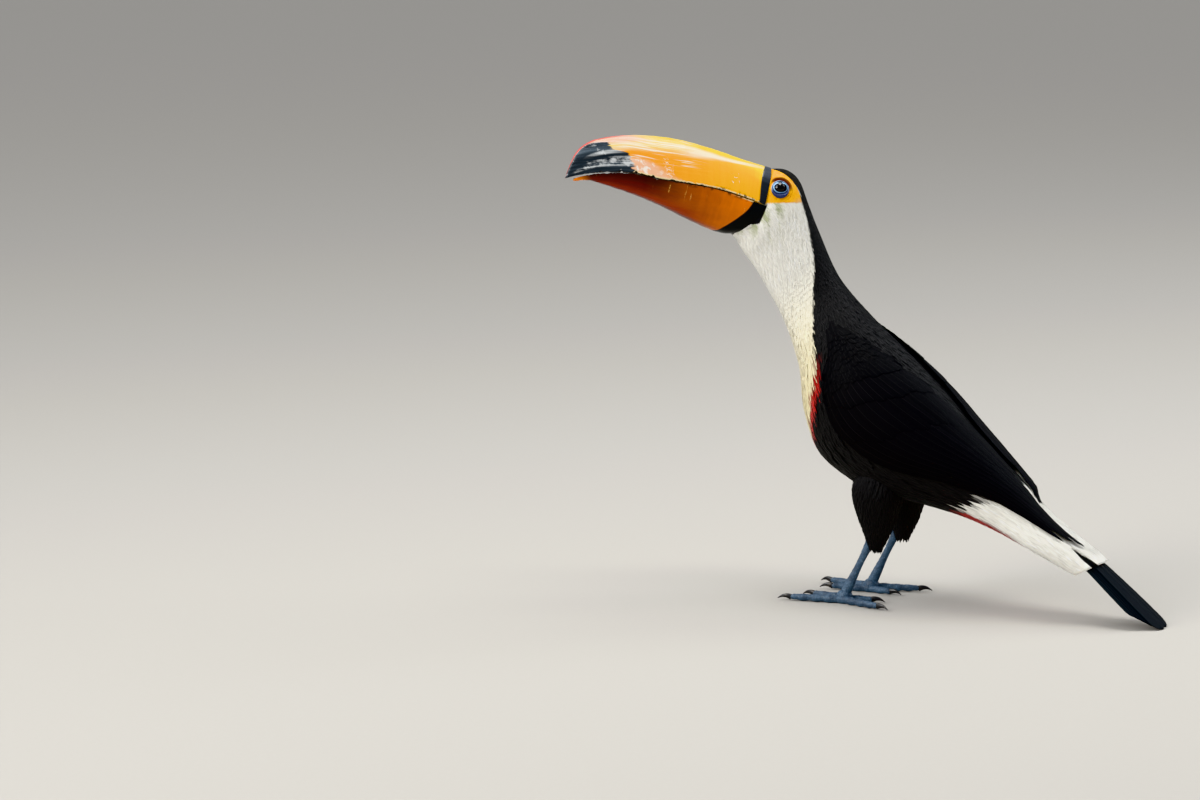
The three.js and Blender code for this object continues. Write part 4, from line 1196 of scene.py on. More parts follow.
def tail_feather(pair, side, seed):
    """One tail feather: half width over its length, a shaft that stands out on top, thin edges, fine furrows
    between bundles of barbs, and a few small splits in its edges. Top and bottom faces join at the edges."""
    length_ = TAIL_LENGTH - TAIL_GRADUATION * (pair - 1) - (1.0 if pair == 1 and side < 0 else 0.0)
    layer = (0 if side > 0 else 1) if pair == 1 else pair
    middle = 4.6 if pair == 1 else 6.0 + 2.1 * (pair - 2)
    rows, ribs = 150, np.concatenate([np.linspace(-1, -0.06, 10), [0], np.linspace(0.06, 1, 10)])
    t = np.linspace(0, 1, rows)[:, None]
    end = np.clip((t - 0.93) / 0.07, 0, 1)
    half = TAIL_HALF_WIDTH * (0.3 + 0.7 * smoothstep(t, 0, 0.5)) * np.sqrt(np.maximum(1 - end ** 2, 0.004))
    draw = np.random.default_rng(SEED + 80 + seed)
    w = ribs[None, :]
    split = 0
    for _ in range(7):
        at, deep = draw.uniform(0.3, 0.97), draw.uniform(0.03, 0.1)
        split = split + deep * bell(t + 0.05 * np.abs(w), at, 0.006) * (np.sign(w) == draw.choice([-1, 1]))
    x = half * w * (1 - split * np.abs(w) ** 3)
    furrow = 0.06 * np.sin((t * length_ - np.abs(x) * 1.2) * 2 * math.pi / 2.6 + 2 * np.sin(t * 40 + seed))
    shaft = 0.32 * (1 - 0.75 * t) * bell(x, 0, 0.55) + 0.5 * (1 - np.abs(w)) ** 1.5 * smoothstep(t, 0.05, 0.3)
    lay = (middle * side + x) * (0.66 + 0.34 * smoothstep(t, 0.3, 0.95))
    sag = 0.55 * (x / TAIL_HALF_WIDTH) ** 2 * (1 - 0.3 * side * np.sign(x))
    sunk = TAIL_SUNK * smoothstep(-t, -0.53, -0.38)
    depth = layer * TAIL_LAYER * (1 - 0.42 * smoothstep(t, 0.2, 0.7)) + 0.5 + sunk
    top = tail_place(t * length_ + 0 * w, lay, depth + sag - shaft - furrow)
    bottom = tail_place(t * length_ + 0 * w, lay, depth + sag + 0.42 - 0.3 * np.abs(w) ** 3 + shaft * 0.6)
    vane = np.stack(np.broadcast_arrays(t * length_ / 1000, x / 1000, seed * OWN_NUMBER % 1), -1)
    shell = closed_tube(np.concatenate([top, bottom[:, ::-1]], 1))
    return shell, with_poles(np.concatenate([vane, vane[:, ::-1]], 1))


def make_tail():
    """Ten tail feathers in their layers, the middle pair on top."""
    shells, vanes, nodes, tints = [], [], [], []
    draw = np.random.default_rng(SEED + 90)
    for pair in range(1, TAIL_PAIRS + 1):
        for k, (name, side) in enumerate(SIDES):
            shell, vane = tail_feather(pair, side, pair * 2 + k)
            shells.append(shell)
            vanes.append(vane)
            tints.append(np.tile(TINT["tail"] * draw.normal(1, 0.3), (len(vane), 1)))
            nodes.append(f"tail_feather_{name}_{pair}")
    slot = "flight_feathers"
    dress("tail", *join_shells(shells), finish_once(slot, feather_finish, slot), slot, nodes,
          values={"vane": np.concatenate(vanes), "tint": np.concatenate(tints)})


# ------------------------------------------------------------------ bill
def bill_point(t, angle, upper):
    """A place on one half of the bill: t from its base to its tip, angle round it from the left cutting edge
    (0) over the ridge (pi / 2) to the right one. Across is a power of the cosine and rise a power of the
    sine, between the cutting edge's curve and the ridge's."""
    edge = along_curve(TOMIUM, t if upper else 0.965 * t)
    ridge = along_curve(CULMEN if upper else GONYS, t)
    if not upper:
        edge = edge - np.array([0, MOUTH_GAP])
        edge = edge + (np.array(LOWER_TIP) - edge) * smoothstep(t, 0.88, 1.0)[..., None]
    half = spline(BILL_HALF_WIDTH, t * (len(BILL_HALF_WIDTH) - 1)) * (1 if upper else LOWER_BILL_NARROWER)
    across = np.sign(np.cos(angle)) * np.abs(np.cos(angle)) ** (2 / (2.5 if upper else 2.9))
    yz = mix(edge, ridge, (np.abs(np.sin(angle)) ** (2 / 2.1))[..., None])
    swept = RIM_SWEEP * across ** 2 * (1 - smoothstep(t, 0, 0.35))
    return np.stack([half * across + 0 * swept, yz[..., 0] + swept, yz[..., 1]], -1)


BILL_RUN = 178.0  # mm along the bill, for its marks
BILL_ROWS, BILL_AROUND = 430, 96
# Chips in the cutting edge: place along the bill, width and depth
BILL_CHIPS = ((0.335, 0.008, 0.5), (0.48, 0.012, 0.7), (0.575, 0.007, 1.3), (0.66, 0.006, 1.5),
              (0.735, 0.014, 0.9), (0.83, 0.009, 0.7), (0.905, 0.006, 0.6))


def bill_edge_wear(t, side, upper, wear):
    """How far the cutting edge is worn back, in mm: low irregular teeth that lean forward, and chips."""
    run = t * BILL_RUN + side * 3.1
    tooth = (run / 4.1 + 0.35 * np.sin(run * 0.31)) % 1
    teeth = 0.55 * tooth ** 1.6 * (0.5 + 0.5 * np.sin(run * 0.17 + 1.0)) * smoothstep(t, 0.12, 0.3)
    chips = 0.0
    for at, wide, deep in BILL_CHIPS:
        chips = chips + deep * np.exp(-(np.abs(t - (at + 0.02 * (1 - side))) / wide) ** 3)
    return wear * (teeth + chips * (1.0 if upper else 0.45))


def make_bill(upper, settings):
    """One half of the bill as a closed shell: the outer face in many fine steps, and an inner face between
    its cutting edges, hollowed a little. A rim stands out at the base, shallow growth ridges cross the sides
    and long furrows run along them."""
    even = np.linspace(0, math.pi, BILL_AROUND)
    angle = 0.35 * (math.pi * (0.5 - 0.5 * np.cos(even))) + 0.65 * even
    t, angle = np.broadcast_arrays(np.linspace(0, 1, BILL_ROWS)[:, None], angle[None, :])
    outer = bill_point(t, angle, upper)
    step = np.linalg.norm(np.diff(outer, axis=1), axis=-1)
    run = np.concatenate([np.zeros((BILL_ROWS, 1)), np.cumsum(step, axis=1)], 1)
    reach = np.minimum(run, run[:, -1:] - run)
    rise = reach / (run[:, -1:] / 2)
    normal = np.cross(np.gradient(outer, axis=0), np.gradient(outer, axis=1))
    normal /= np.linalg.norm(normal, axis=-1, keepdims=True) + 1e-9
    middle = outer.mean(1, keepdims=True)
    normal *= np.sign(np.einsum("ijk,ijk->i", normal, outer - middle))[:, None, None]
    along = t * BILL_RUN
    side = np.where(angle < math.pi / 2, 1.0, -1.0)
    if upper:
        bow = 5.4 + 1.8 * np.sin(math.pi * np.clip(rise * 1.15, 0, 1)) - 1.0 * smoothstep(rise, 0.6, 1)
    else:
        bow = 0 * along - 5
    rim = 0.3 * smoothstep(bow - along, -0.5, 0.5) - 0.35 * bell(along, bow, 0.55)
    ridges = 0.07 * np.sin(along * 0.55 + 3 * wobble(outer, 40.0, 15)) * smoothstep(t, 0.05, 0.2)
    furrows = 0.10 * np.sin(reach * 1.9 + 2.5 * wobble(outer * np.array([1, 0.12, 1]), 9.0, 16))
    furrows = furrows * smoothstep(rise, 0.05, 0.3) * smoothstep(1 - rise, 0.0, 0.2)
    furrows = furrows * smoothstep(t, 0.15, 0.5)
    outer = outer + normal * ((ridges + furrows + rim) * smoothstep(reach, 0.0, 1.5))[..., None]
    worn = bill_edge_wear(t, side, upper, settings.wear) * bell(reach, 0, 1.6) * smoothstep(1 - t, 0.0, 0.04)
    outer[..., 2] += worn * (1 if upper else -1)
    share, t0 = np.linspace(0, 1, 12)[1:-1][None, :], t[:, :1]
    inner = mix(outer[:, -1:], outer[:, :1], share[..., None])
    hollow = 3.0 * np.sin(math.pi * share) * smoothstep(t0, 0.0, 0.1) * (1 - smoothstep(t0, 0.75, 1.0))
    inner[..., 2] += hollow * (1 if upper else -0.6)
    lay = np.stack([along / 1000, reach / 1000, side * 0.05], -1)

    def both(outside, inside):
        """Values of the outer and the inner face as a list with the poles."""
        inside = np.broadcast_to(inside, inner.shape[:2] + outside.shape[2:])
        return with_poles(np.concatenate([outside, inside], 1))

    values = {"lay": both(lay, lay[:, :1] * np.array([1, 0, 0]) + np.array([0, -0.001, 0])),
              "rise": both(rise, -0.2), "reach": both(t, t0), "band": both(bow - along, -5.0)}
    name, finish, node = (("bill_top", upper_bill_finish, "bill_upper") if upper
                          else ("bill_bottom", lower_bill_finish, "bill_lower"))
    shell = closed_tube(np.concatenate([outer, inner], 1))
    dress(name, *shell, finish(settings), "bill", [node], values=values)


def upper_bill_finish(settings):
    """Polished horn, yellow over orange: a painted highlight under the ridge that widens forward, pale
    streaks, worn pinkish places behind the spot, a slate tip spot with a ragged rear edge, painted
    reflections and chalky scuffs on it, a red ridge line over it, and the dark band at the base with a
    painted sheen."""
    s = Shader("horn_upper", Specular_IOR_Level=0.28, Coat_Weight=0.22, Coat_Roughness=0.1)
    lay, rise, t = s.attribute("lay", "Vector"), s.attribute("rise"), s.attribute("reach")
    run, up, side = s.axes(lay)
    streak = s.noise(s.vector(run * 16.0, up * 420.0, side * 40.0), 1.0, 4.0, 0.6)
    lines = s.noise(s.vector(run * 24.0 + 7.0, up * 520.0, side * 40.0), 1.0, 2.0, 0.5)
    broad = s.noise(s.vector(run * 14.0, up * 120.0, side * 40.0), 1.0, 2.0) - 0.5
    bands = s.noise(s.vector(run * 330.0, up * 18.0, side * 40.0), 1.0, 2.0)
    flake = s.noise(lay, 900.0, 4.0, 0.7)
    chalk = s.noise(lay, 210.0, 4.0, 0.6)
    curl = s.noise(lay, 130.0, 3.0, 0.6, 1.6)
    top, orange, spot = (tuple(c) for c in (settings.yellow, settings.orange, settings.spot))
    # painted highlight: a pale band painted under the ridge, narrow at the base, wider and broken by streaks
    # forward
    centre = 0.76 - t.ease(0.0, 0.25) * 0.14 + t.ease(0.3, 0.62) * 0.1
    width = 0.045 + t.ease(0.08, 0.6) * 0.16
    sheen = (abs(rise + broad * 0.16 - centre) / width).ease(1.25, 0.35)
    solid = 0.4 + t.ease(0.02, 0.18) * 0.5
    broken = 1.0 - streak.ease(0.56, 0.44) * t.ease(0.3, 0.48) * 0.75
    # pale lines along the side, and worn horn with curls behind the spot
    zone = (t + broad * 0.2).ease(0.3, 0.42) * (rise + broad * 0.3).ease(0.2, 0.32) * t.ease(0.75, 0.66)
    worn = (t + broad * 0.16 - rise * 0.3).ease(0.4, 0.5) * (rise + streak * 0.24).ease(0.56, 0.38)
    curls = abs(curl - 0.5).ease(0.024, 0.006) * abs(t - 0.49).ease(0.03, 0.012) * rise.ease(0.5, 0.35)
    # the ridge line: pinkish white behind, red at the tip
    pink = (rise + streak * 0.05).ease(0.7, 0.82) * (t + broad * 0.1).ease(0.52, 0.66)
    red = (rise + streak * 0.05).ease(0.9, 0.97) * (t + broad * 0.1).ease(0.58, 0.7)
    # the spot, with painted reflections in two pale bands and chalky scuffs that also stand in for glints
    ragged = t + streak * 0.085 + broad * 0.04 + chalk * 0.03 - 0.057
    ragged = ragged - (rise + chalk * 0.1).ease(0.5, 0.66) * 0.075
    under_line = (rise + streak * 0.07 - t.ease(0.7, 0.84) * 0.15).ease(0.83, 0.77)
    dark = (ragged.ease(0.655, 0.67) * under_line).clipped()
    painted_reflection_high = abs(rise + broad * 0.12 - 0.53).ease(0.09, 0.02) * t.ease(0.9, 0.78) * streak.ease(0.4, 0.56)
    painted_reflection_low = abs(rise + broad * 0.12 - 0.27).ease(0.13, 0.05) * t.ease(0.97, 0.88)
    painted_reflection_low = painted_reflection_low * (streak * 0.7 + chalk * 0.4).ease(0.46, 0.6)
    scuff_and_glint = chalk.ease(0.57, 0.64) * streak.ease(0.46, 0.56) * 0.5
    # pale: the painted reflections and the scuffs together
    pale = (painted_reflection_high * 0.85 + painted_reflection_low + scuff_and_glint).clipped()
    slate = s.layers(spot, ((streak * 0.6 + broad + 0.5).ease(0.6, 1.1), "#56626c"), (pale * 0.8, "#dfe4e6"))
    # the cutting edge's cream flakes and dirt, a few white chips low on the side, and the base band with a
    # painted sheen
    flakes = up.ease(0.0017, 0.0007) * (chalk + t * 0.2).ease(0.42, 0.55) * (1.0 - dark)
    grime = up.ease(0.0035, 0.0004) * chalk.ease(0.52, 0.62) * t.ease(0.5, 0.12)
    chip = abs(t - 0.17).ease(0.03, 0.012) * abs(rise - 0.28).ease(0.16, 0.08)
    chip = s.noise(lay, 520.0, 3.0).ease(0.6, 0.66) * chip
    band = s.attribute("band").ease(-0.3, 0.3)
    # the base band is paler in streaks and, higher on the side, with a painted sheen
    band_streaks_and_sheen = (streak * 0.5 + rise.ease(0.3, 0.7) * 0.4).ease(0.2, 0.6)
    base = s.layers(
        orange,
        (t.ease(0.1, 0.6), "#ffa600"),
        ((rise + broad * 0.3 + t.ease(0.12, 0.0) * 0.2).ease(0.45, 0.78), top),
        (bands.ease(0.45, 0.7) * 0.12, "#f59000"),
        # the painted highlight under the ridge
        (sheen * solid * broken, "#fff4dc"),
        (lines.ease(0.54, 0.61) * zone * 0.9, "#fff1dc"),
        (worn * 0.8, "#f6c8ae"),
        (worn * chalk.ease(0.5, 0.6) * 0.85, "#fffaf2"),
        (curls * 0.8, "#fff6e8"),
        (pink * 0.85, "#f8c6b2"),
        (red, "#cf4a48"),
        (dark, slate),
        (flakes, "#f0dcae"),
        (grime * 0.9, "#1d1508"),
        (chip, "#fbf7ee"),
        (band, s.colour(band_streaks_and_sheen, linear("#22262c"), linear("#3c434d"))),
        # painted shade: the inner face between the cutting edges, dark brown as the shaded inside of the
        # mouth
        (rise.ease(-0.02, -0.1), "#3a1404"),
    )
    rough = 0.3 + flake * 0.08 + worn * 0.15 + pale * dark * 0.2 + band * 0.08
    height = streak * 0.5 + bands * 0.35 + chip * 0.6 + pale * dark * 0.4 + worn * chalk * 0.5
    return s.finish(base, rough, height, 0.0003, 0.4)


def lower_bill_finish(settings):
    """Polished horn, its colours partly painted shade: orange at the base, browner forward and dark red at
    the front, with painted shade along the gape under the upper bill, a brighter lower side and tip, drip
    marks, and the black patch at the base whose front edge sweeps forward as it goes down."""
    s = Shader("horn_lower", Specular_IOR_Level=0.2, Coat_Weight=0.14, Coat_Roughness=0.14)
    lay, rise, t = s.attribute("lay", "Vector"), s.attribute("rise"), s.attribute("reach")
    run, up, side = s.axes(lay)
    streak = s.noise(s.vector(run * 14.0, up * 300.0, side * 40.0), 1.0, 4.0, 0.6)
    broad = s.noise(s.vector(run * 22.0, up * 60.0, side * 40.0), 1.0, 3.0) - 0.5
    drips = s.noise(s.vector(run * 260.0, up * 40.0, side * 40.0), 1.0, 3.0)
    flake = s.noise(lay, 700.0, 4.0, 0.7)
    # painted shade along the gape, under the upper bill, from a third of the way along almost to the tip
    shade = (rise + streak * 0.1).ease(0.5, 0.12) * (t + broad * 0.2).ease(0.3, 0.6) * t.ease(0.98, 0.88)
    cream = up.ease(0.0016, 0.0005) * t.ease(0.22, 0.05)
    grime = up.ease(0.003, 0.0003) * s.noise(lay, 240.0, 3.0).ease(0.5, 0.62) * t.ease(0.6, 0.3)
    drip = drips.ease(0.66, 0.7) * flake.ease(0.4, 0.5) * rise.ease(0.55, 0.3)
    front = rise * 0.018 + rise.ease(0.15, 0.8) * 0.0105 + 0.011
    patch = (run - front).ease(0.0004, -0.0004)
    base = s.layers(
        # the horn's own orange, browner forward and dark red at the front, all laid darker as partly painted
        # shade
        tuple(settings.lower),
        ((t + broad * 0.3 + drips * 0.1).ease(0.12, 0.42), "#a34c05"),
        ((t + broad * 0.3 - rise.ease(0.3, 0.9) * 0.1).ease(0.4, 0.62), "#5f0a01"),
        ((rise + streak * 0.2).ease(0.55, 0.8) * t.ease(0.2, 0.45) * t.ease(0.95, 0.8) * 0.75, "#8f2604"),
        ((rise + streak * 0.2).ease(0.88, 1.08) * t.ease(0.16, 0.4) * 0.8, "#400703"),
        # the painted shade along the gape
        (shade * 0.85, "#2a0502"),
        (t.ease(0.9, 0.97), "#f58a14"),
        (cream * 0.9, "#eadcae"),
        (grime * 0.8, "#1a0d06"),
        (drip * 0.5, "#fbc277"),
        (patch, s.colour(streak, tuple(np.array(settings.spot) * 0.25), linear("#0b0c0e"))),
        # painted shade: the inner face between the cutting edges, dark as the shaded inside of the mouth
        (rise.ease(-0.02, -0.1), "#2c0d03"),
    )
    return s.finish(base, 0.33 + flake * 0.1 + patch * 0.12, streak * 0.6 + drips * 0.4 + drip, 0.00025, 0.4)


# ------------------------------------------------------------------ eyes
def orbit_frame(side):
    """Centre of the eye's ring on the face, its outward direction, and two directions along the face: forward
    and up, all for the upright bird."""
    u, a = on_face(*ORBIT_CENTRE)
    centre = body_surface(u, a)
    step = 1e-3
    out = np.cross(body_surface(u + step, a) - centre, body_surface(u, a + step) - centre)
    out = out / np.linalg.norm(out)
    out = out * np.sign(out[0])
    up = np.array([0.0, 0.0, 1.0]) - out * out[2]
    up = up / np.linalg.norm(up)
    mirror = np.array([side, 1, 1])
    return centre * mirror, out * mirror, np.cross(up, out) * mirror, up * mirror


def face_height(y, z):
    """Sideways distance x of the face's surface at y and z."""
    u, a = on_face(y, z)
    return body_surface(u, a)[..., 0]


def make_ring(name, side, settings):
    """The bare ring round an eye: share r from the lid's opening (0) to its outer edge (1) and angle g round
    it. It rises from the lid's thin edge, falls into a groove, swells into a soft cushion that is wider and
    deeper below the eye, and dips under the face's skin. Wrinkles run round it and cross it, with grains."""
    rows, around = 96, 200
    r, g = np.broadcast_arrays(np.linspace(-0.35, 1, rows)[:, None], turn(around))
    share, within = np.clip(r, 0, 1), 0.45 * np.clip(r, -1, 0)
    square = (np.abs(np.cos(g)) ** 2.2 + np.abs(np.sin(g)) ** 2.2) ** (-1 / 2.2)
    wide, high = LID_OPENING
    inner = np.stack([wide * square * np.cos(g), high * square * np.sin(g) + LID_RAISED], -1)
    inner = inner * (1 + within)[..., None] - np.array([0, LID_RAISED]) * within[..., None]
    outer = ORBIT_RADIUS * np.stack([np.cos(g), np.sin(g)], -1)
    gap = np.linalg.norm(outer - inner, axis=-1)
    flat = mix(inner, outer, share[..., None])
    y, z = ORBIT_CENTRE[0] - flat[..., 0], ORBIT_CENTRE[1] + flat[..., 1]
    x = face_height(y, z)
    here, low = np.stack([x, y, z], -1), -np.sin(g)
    lid = 1.05 * bell(np.maximum(r, 0) * gap, 0, 0.85)
    groove = -0.45 * bell(r * gap, 1.45, 0.35)
    cushion = 0.95 * np.sin(math.pi * np.clip((share * gap - 1.2) / (gap - 1.2), 0, 1)) ** 0.7
    cushion = cushion * (0.75 + 0.25 * smoothstep(low, -0.2, 0.8))
    under = -2.4 * smoothstep(-r, 0.0, 0.35)
    wrinkle = 0.10 * np.sin(share * gap * 5.2 + 1.6 * wobble(here, 4.0, 31))
    wrinkle = wrinkle + 0.07 * np.sin(g * 26 + 3 * wobble(here, 5.0, 32))
    wrinkle = wrinkle * smoothstep(r * gap, 1.1, 1.9) * (0.35 + 0.65 * smoothstep(low, -0.4, 0.4))
    wrinkle = wrinkle + 0.05 * wobble(here, 0.9, 33)
    sink = -1.3 * smoothstep(r, 0.9, 1.0)
    height = lid + groove + cushion + under + wrinkle * (r > 0) + sink + 0.25
    front = np.stack([side * (x + height * 0.97), y, z], -1)
    # the back is a copy of the outer and inner edge, deeper in the head
    points = np.concatenate([front, front[[-1, 0]] - np.array([side * RING_THICKNESS, 0, 0])]).reshape(-1, 3)
    close = grid_faces(2, around)
    close = np.where(close >= around, close - around, close + (rows + 1) * around)
    faces = outward(points, [np.concatenate([grid_faces(rows + 2, around), close])])
    values = {"lid": np.concatenate([(r * gap).ravel(), np.full(2 * around, 9.0)]),
              "low": np.concatenate([smoothstep(low, -0.35, 0.5).ravel(), np.zeros(2 * around)])}
    dress("eye_ring_" + name, points, faces, finish_once("ring", ring_finish, settings), "orbital_skin",
          ["orbital_ring_" + name], values=values)


def ring_finish(settings):
    """Bare cobalt skin: pale blue along the lid's edge, blue above, violet and granular below."""
    s = Shader("ring_skin", Specular_IOR_Level=0.5, Subsurface_Weight=0.06, Subsurface_Scale=0.001)
    here = s.object_place()
    lid, low = s.attribute("lid"), s.attribute("low")
    grains = s.cells(here, 1500.0)
    blotch = s.noise(here, 700.0, 4.0, 0.65)
    rim = lid.ease(1.05, 0.6)
    deep = s.layers(tuple(settings.ring), (low, "#333f6a"), (blotch.ease(0.48, 0.62) * 0.4, "#182043"),
                    (grains.ease(0.35, 0.1) * blotch.ease(0.3, 0.55) * 0.5, "#6a74d0"))
    edge = s.colour(blotch.ease(0.4, 0.65), tuple(settings.rim), linear("#6aa2de"))
    base = s.layers(deep, (rim, edge), (lid.ease(0.35, 0.05), "#0b0d1c"))
    return s.finish(base, 0.45 - rim * 0.12, (1.0 - grains) * 0.6 + blotch * 0.6, 0.00018, 0.7)


def make_eye(name, side, settings):
    """An eyeball: a sphere about an axis that looks out of the face, with the cornea's lower bulge in front.
    Its rings are counted from the front pole."""
    centre, out, ahead, up = orbit_frame(side)
    middle = centre + up * LID_RAISED - out * EYE_DEPTH
    radius = settings.radius * 1000
    polar, g = np.broadcast_arrays(np.linspace(0.02, math.pi - 0.02, 72)[:, None], turn(96))
    r = radius + 0.35 * (1 - smoothstep(polar, 0.0, 0.62))
    spoke = ahead * np.cos(g)[..., None] + up * np.sin(g)[..., None]
    points = middle + r[..., None] * (out * np.cos(polar)[..., None] + spoke * np.sin(polar)[..., None])
    values = {"gaze": with_poles(np.sin(polar) * radius),
              "spoke": with_poles(np.stack([np.cos(g), np.sin(g), 0 * g], -1))}
    dress("eyeball_" + name, *closed_tube(points), finish_once("eye", eye_finish, settings), "eye",
          ["eye_" + name], values=values)


def eye_finish(settings):
    """A wet eye: black pupil, very dark brown iris with fine spokes, and a darker edge."""
    s = Shader("eye_wet", Roughness=0.05, Specular_IOR_Level=0.3, Coat_Weight=0.35, Coat_Roughness=0.02)
    gaze, spoke = s.attribute("gaze"), s.attribute("spoke", "Vector")
    fibres = s.noise(spoke, 14.0, 3.0)
    iris = s.colour(fibres.ease(0.35, 0.7), tuple(settings.iris), tuple(np.array(settings.iris) * 2.6))
    return s.finish(s.layers(iris, (gaze.ease(2.25, 2.05), (0.002, 0.002, 0.002)),
                             (gaze.ease(3.3, 3.8), (0.006, 0.005, 0.006))))


# ------------------------------------------------------------------ legs
def tube_along(path, radius, around, shape):
    """A tube: rings square to a path of points, with a radius for each place; shape says how wide and how
    deep. Angle 0 points to the path's left, and a quarter turn on to its top."""
    ahead = np.gradient(path, axis=0)
    ahead /= np.linalg.norm(ahead, axis=1, keepdims=True)
    level = np.cross(ahead, [0, -1.0, 0] if np.abs(ahead[:, 2]).mean() > 0.7 else [0, 0, 1.0])
    level /= np.linalg.norm(level, axis=1, keepdims=True)
    top = np.cross(level, ahead)
    g, (wide, deep) = turn(around)[..., None], shape
    out = wide * level[:, None] * np.cos(g) + deep * top[:, None] * np.sin(g)
    return path[:, None] + radius[..., None] * out


def scutes(run, round_, pitch, depth):
    """Height of overlapping plates: a saw tooth along the run, strong where round_ is near 1 (front or top)
    and fading to small scales elsewhere."""
    saw = (run / pitch) % 1
    plate = depth * (saw ** 1.5 * 0.8 - np.exp(-(saw / 0.12) ** 2))
    small = 0.35 * depth * np.cos(run / pitch * 4 * math.pi) * np.cos(round_ * 9)
    return plate, small


def toe_path(side, swing, start, d, height):
    """Places at distances d along a toe and its claw, at a height over the floor."""
    angle = math.radians(swing)
    return np.stack([side * (HIP_SPREAD - start) + math.sin(-side * angle) * d, FOOT[0] - math.cos(angle) * d,
                     height + 0 * d], -1)


def on_floor(shells):
    """Shells as one, with all that would go below the floor flattened onto it."""
    points, faces = join_shells(shells)
    points[:, 2] = np.maximum(points[:, 2], 0.0)
    return points, faces


def make_leg(name, side, settings):
    """One leg: the tarsus with its front plates, a padded sole, and four toes with plates on top and pads
    under each joint."""
    pitch, g = settings.scute * 1000, turn(LEG_AROUND)
    v = np.linspace(0, 1, 150)
    path = np.stack([np.full(150, side * HIP_SPREAD), ANKLE[0] + (FOOT[0] - ANKLE[0]) * v,
                     ANKLE[1] + 3 + (FOOT[1] - ANKLE[1] - 5) * v], -1)
    v = v[:, None]
    front = smoothstep(np.sin(g), -0.1, 0.5)
    plate, small = scutes(v * TARSUS_RUN + 0.6 * np.cos(g), g, pitch, 0.32)
    radius = TARSUS_RADIUS * (0.93 + 0.2 * np.cos(2 * math.pi * v)) + plate * front + small * (1 - front)
    polar = np.linspace(0.05, math.pi - 0.05, 40)[:, None]
    pad = np.stack([side * HIP_SPREAD + 6.0 * np.sin(polar) * np.cos(g),
                    FOOT[0] + 6.4 * np.sin(polar) * np.sin(g), 5 + 5.4 * np.cos(polar) + 0 * g], -1)
    tubes = [tube_along(path, radius, LEG_AROUND, (0.86, 1.0)), pad + 0.12 * wobble(pad, 1.6, 50)[..., None]]
    for reach, swing, start, thick, joints in TOES.values():
        a = np.linspace(0, 1, 110)
        path = toe_path(side, swing, start, reach * a, thick * 0.86)
        a = a[:, None]
        top = smoothstep(np.sin(g), -0.2, 0.5)
        plate, small = scutes(reach * a + 0.4 * np.cos(g), g, pitch * 0.62, 0.24)
        pads = 0.11 * np.cos(2 * math.pi * joints * a)
        radius = thick * (1 - 0.28 * a) * (1 + pads * (1.1 - 0.6 * top)) + plate * top + small * (1 - top)
        radius = radius * np.sqrt(np.clip((1.015 - a) / 0.1, 0.05, 1))
        tubes.append(tube_along(path, radius, LEG_AROUND, (0.9, 0.88)))
    nodes = ["tarsus_" + name] + [f"toe_{toe}_{name}" for toe in TOES]
    leg = on_floor([closed_tube(tube) for tube in tubes])
    dress("leg_" + name, *leg, finish_once("leg", leg_finish, settings), "leg_skin", nodes)


def make_claws(name, side):
    """A foot's four claws, arched and tapering."""
    a = np.linspace(0, 1, 40)
    height = 2.7 + 1.6 * np.sin(0.8 * math.pi * a) - 2.3 * a ** 2
    radius = (CLAW_RADIUS * (1 - 0.9 * a ** 1.3))[:, None]
    claws = []
    for reach, swing, start, _, _ in TOES.values():
        path = toe_path(side, swing, start, reach - 1.4 + CLAW_LENGTH * a, height)
        claws.append(closed_tube(tube_along(path, radius, 28, (0.72, 1.0))))
    dress("claws_" + name, *on_floor(claws), finish_once("claw", claw_finish), "claw",
          [f"claw_{toe}_{name}" for toe in TOES])


def leg_finish(settings):
    """Scaly blue-grey skin, paler on the plates and darker in the joints between them."""
    s = Shader("leg_skin", Specular_IOR_Level=0.45)
    here = s.object_place()
    grains, stain = s.cells(here, 1100.0), s.noise(here, 180.0, 4.0)
    worn = s.noise(here, 520.0, 4.0, 0.6)
    base = s.layers(tuple(settings.skin), (stain.ease(0.35, 0.7), "#46586d"),
                    (worn.ease(0.55, 0.72) * 0.5, "#93a3ae"), (grains.ease(0.25, 0.55) * 0.5, "#232d3a"))
    return s.finish(base, 0.5 + worn * 0.15, (1.0 - grains) * 0.8 + worn * 0.4, 0.0002, 0.6)


def claw_finish():
    """Dark polished horn with fine lines along it and a paler, worn tip side."""
    s = Shader("claw_horn", Specular_IOR_Level=0.5, Coat_Weight=0.3, Coat_Roughness=0.15)
    here = s.object_place()
    grain, patch = s.noise(here, 900.0, 4.0, 0.6), s.noise(here, 240.0, 2.0)
    base = s.layers(linear("#121315"), (grain.ease(0.4, 0.7), "#2d2d30"),
                    (patch.ease(0.55, 0.7) * 0.5, "#5b544c"))
    return s.finish(base, 0.3 + grain * 0.2, grain, 0.0001, 0.4)


# ------------------------------------------------------------------ operators
class TOUCAN_OT_stage(bpy.types.Operator):
    """Add the camera, the lights, the sky and the floor."""

    bl_idname = "toucan.stage"
    bl_label = "Stage"

    def execute(self, context):
        make_stage(context.scene.toucan_stage)
        return {"FINISHED"}


class TOUCAN_OT_skin(bpy.types.Operator):
    """Add the skin with its sculpted face."""

    bl_idname = "toucan.skin"
    bl_label = "Skin"

    def execute(self, context):
        make_skin(context.scene.toucan_plumage.depth * 1000)
        return {"FINISHED"}


class TOUCAN_OT_coat(bpy.types.Operator):
    """Add the coat of body feathers."""

    bl_idname = "toucan.coat"
    bl_label = "Coat"

    def execute(self, context):
        settings = context.scene.toucan_plumage
        for seed, name in enumerate(COATS):
            if make_coat(name, settings, seed + 1) == 0:
                raise RuntimeError(f"{name} has no feathers")
        make_thigh_coat(settings)
        return {"FINISHED"}


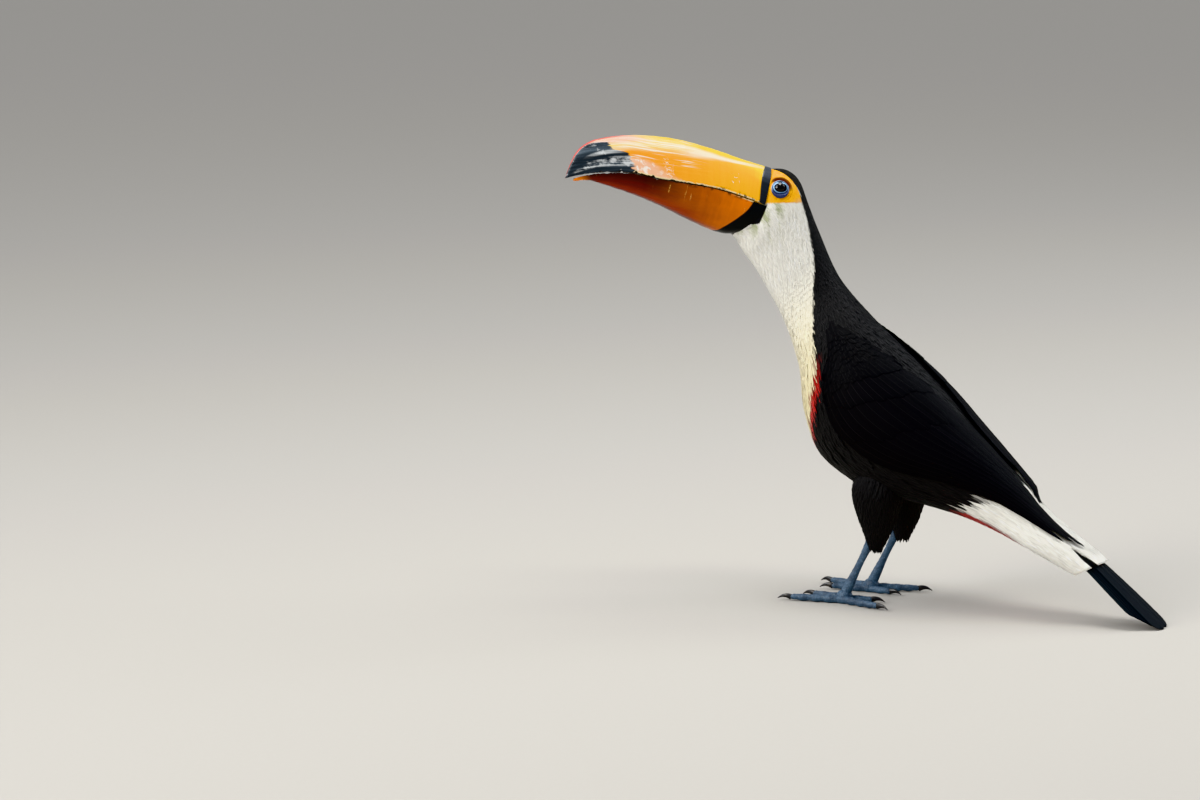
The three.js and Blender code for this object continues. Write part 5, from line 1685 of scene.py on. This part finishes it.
class TOUCAN_OT_wings(bpy.types.Operator):
    """Add the folded wings' coverts and long feathers."""

    bl_idname = "toucan.wings"
    bl_label = "Wings"

    def execute(self, context):
        for name, side in SIDES:
            make_wing(name, side)
        return {"FINISHED"}


class TOUCAN_OT_tail(bpy.types.Operator):
    """Add the ten tail feathers."""

    bl_idname = "toucan.tail"
    bl_label = "Tail"

    def execute(self, context):
        make_tail()
        return {"FINISHED"}


class TOUCAN_OT_bill(bpy.types.Operator):
    """Add the upper and the lower bill."""

    bl_idname = "toucan.bill"
    bl_label = "Bill"

    def execute(self, context):
        for upper in (True, False):
            make_bill(upper, context.scene.toucan_bill)
        return {"FINISHED"}


class TOUCAN_OT_eyes(bpy.types.Operator):
    """Add the eyes and the bare rings round them."""

    bl_idname = "toucan.eyes"
    bl_label = "Eyes"

    def execute(self, context):
        for name, side in SIDES:
            make_ring(name, side, context.scene.toucan_eyes)
            make_eye(name, side, context.scene.toucan_eyes)
        return {"FINISHED"}


class TOUCAN_OT_feet(bpy.types.Operator):
    """Add the legs, toes and claws."""

    bl_idname = "toucan.feet"
    bl_label = "Feet"

    def execute(self, context):
        for name, side in SIDES:
            make_leg(name, side, context.scene.toucan_feet)
            make_claws(name, side)
        return {"FINISHED"}


OPERATORS = (TOUCAN_OT_stage, TOUCAN_OT_skin, TOUCAN_OT_bill, TOUCAN_OT_eyes, TOUCAN_OT_coat, TOUCAN_OT_wings,
             TOUCAN_OT_tail, TOUCAN_OT_feet)


class TOUCAN_PT_sidebar(bpy.types.Panel):
    """The settings and the steps that build the bird."""

    bl_idname = "TOUCAN_PT_sidebar"
    bl_label = "Toco toucan"
    bl_space_type = "VIEW_3D"
    bl_region_type = "UI"
    bl_category = "Toucan"

    def draw(self, context):
        for name, group in GROUPS.items():
            box = self.layout.box()
            box.label(text=group.__doc__)
            for key in group.__annotations__:
                box.prop(getattr(context.scene, name), key)
        for operator in OPERATORS:
            self.layout.operator(operator.bl_idname)


def register():
    for cls in (*GROUPS.values(), *OPERATORS, TOUCAN_PT_sidebar):
        bpy.utils.register_class(cls)
    for name, group in GROUPS.items():
        setattr(bpy.types.Scene, name, bpy.props.PointerProperty(type=group))


def unregister():
    for name in GROUPS:
        delattr(bpy.types.Scene, name)
    for cls in reversed((*GROUPS.values(), *OPERATORS, TOUCAN_PT_sidebar)):
        bpy.utils.unregister_class(cls)


def main():
    register()
    for operator in OPERATORS:
        module, name = operator.bl_idname.split(".")
        getattr(getattr(bpy.ops, module), name)()


if __name__ == "__main__":
    main()
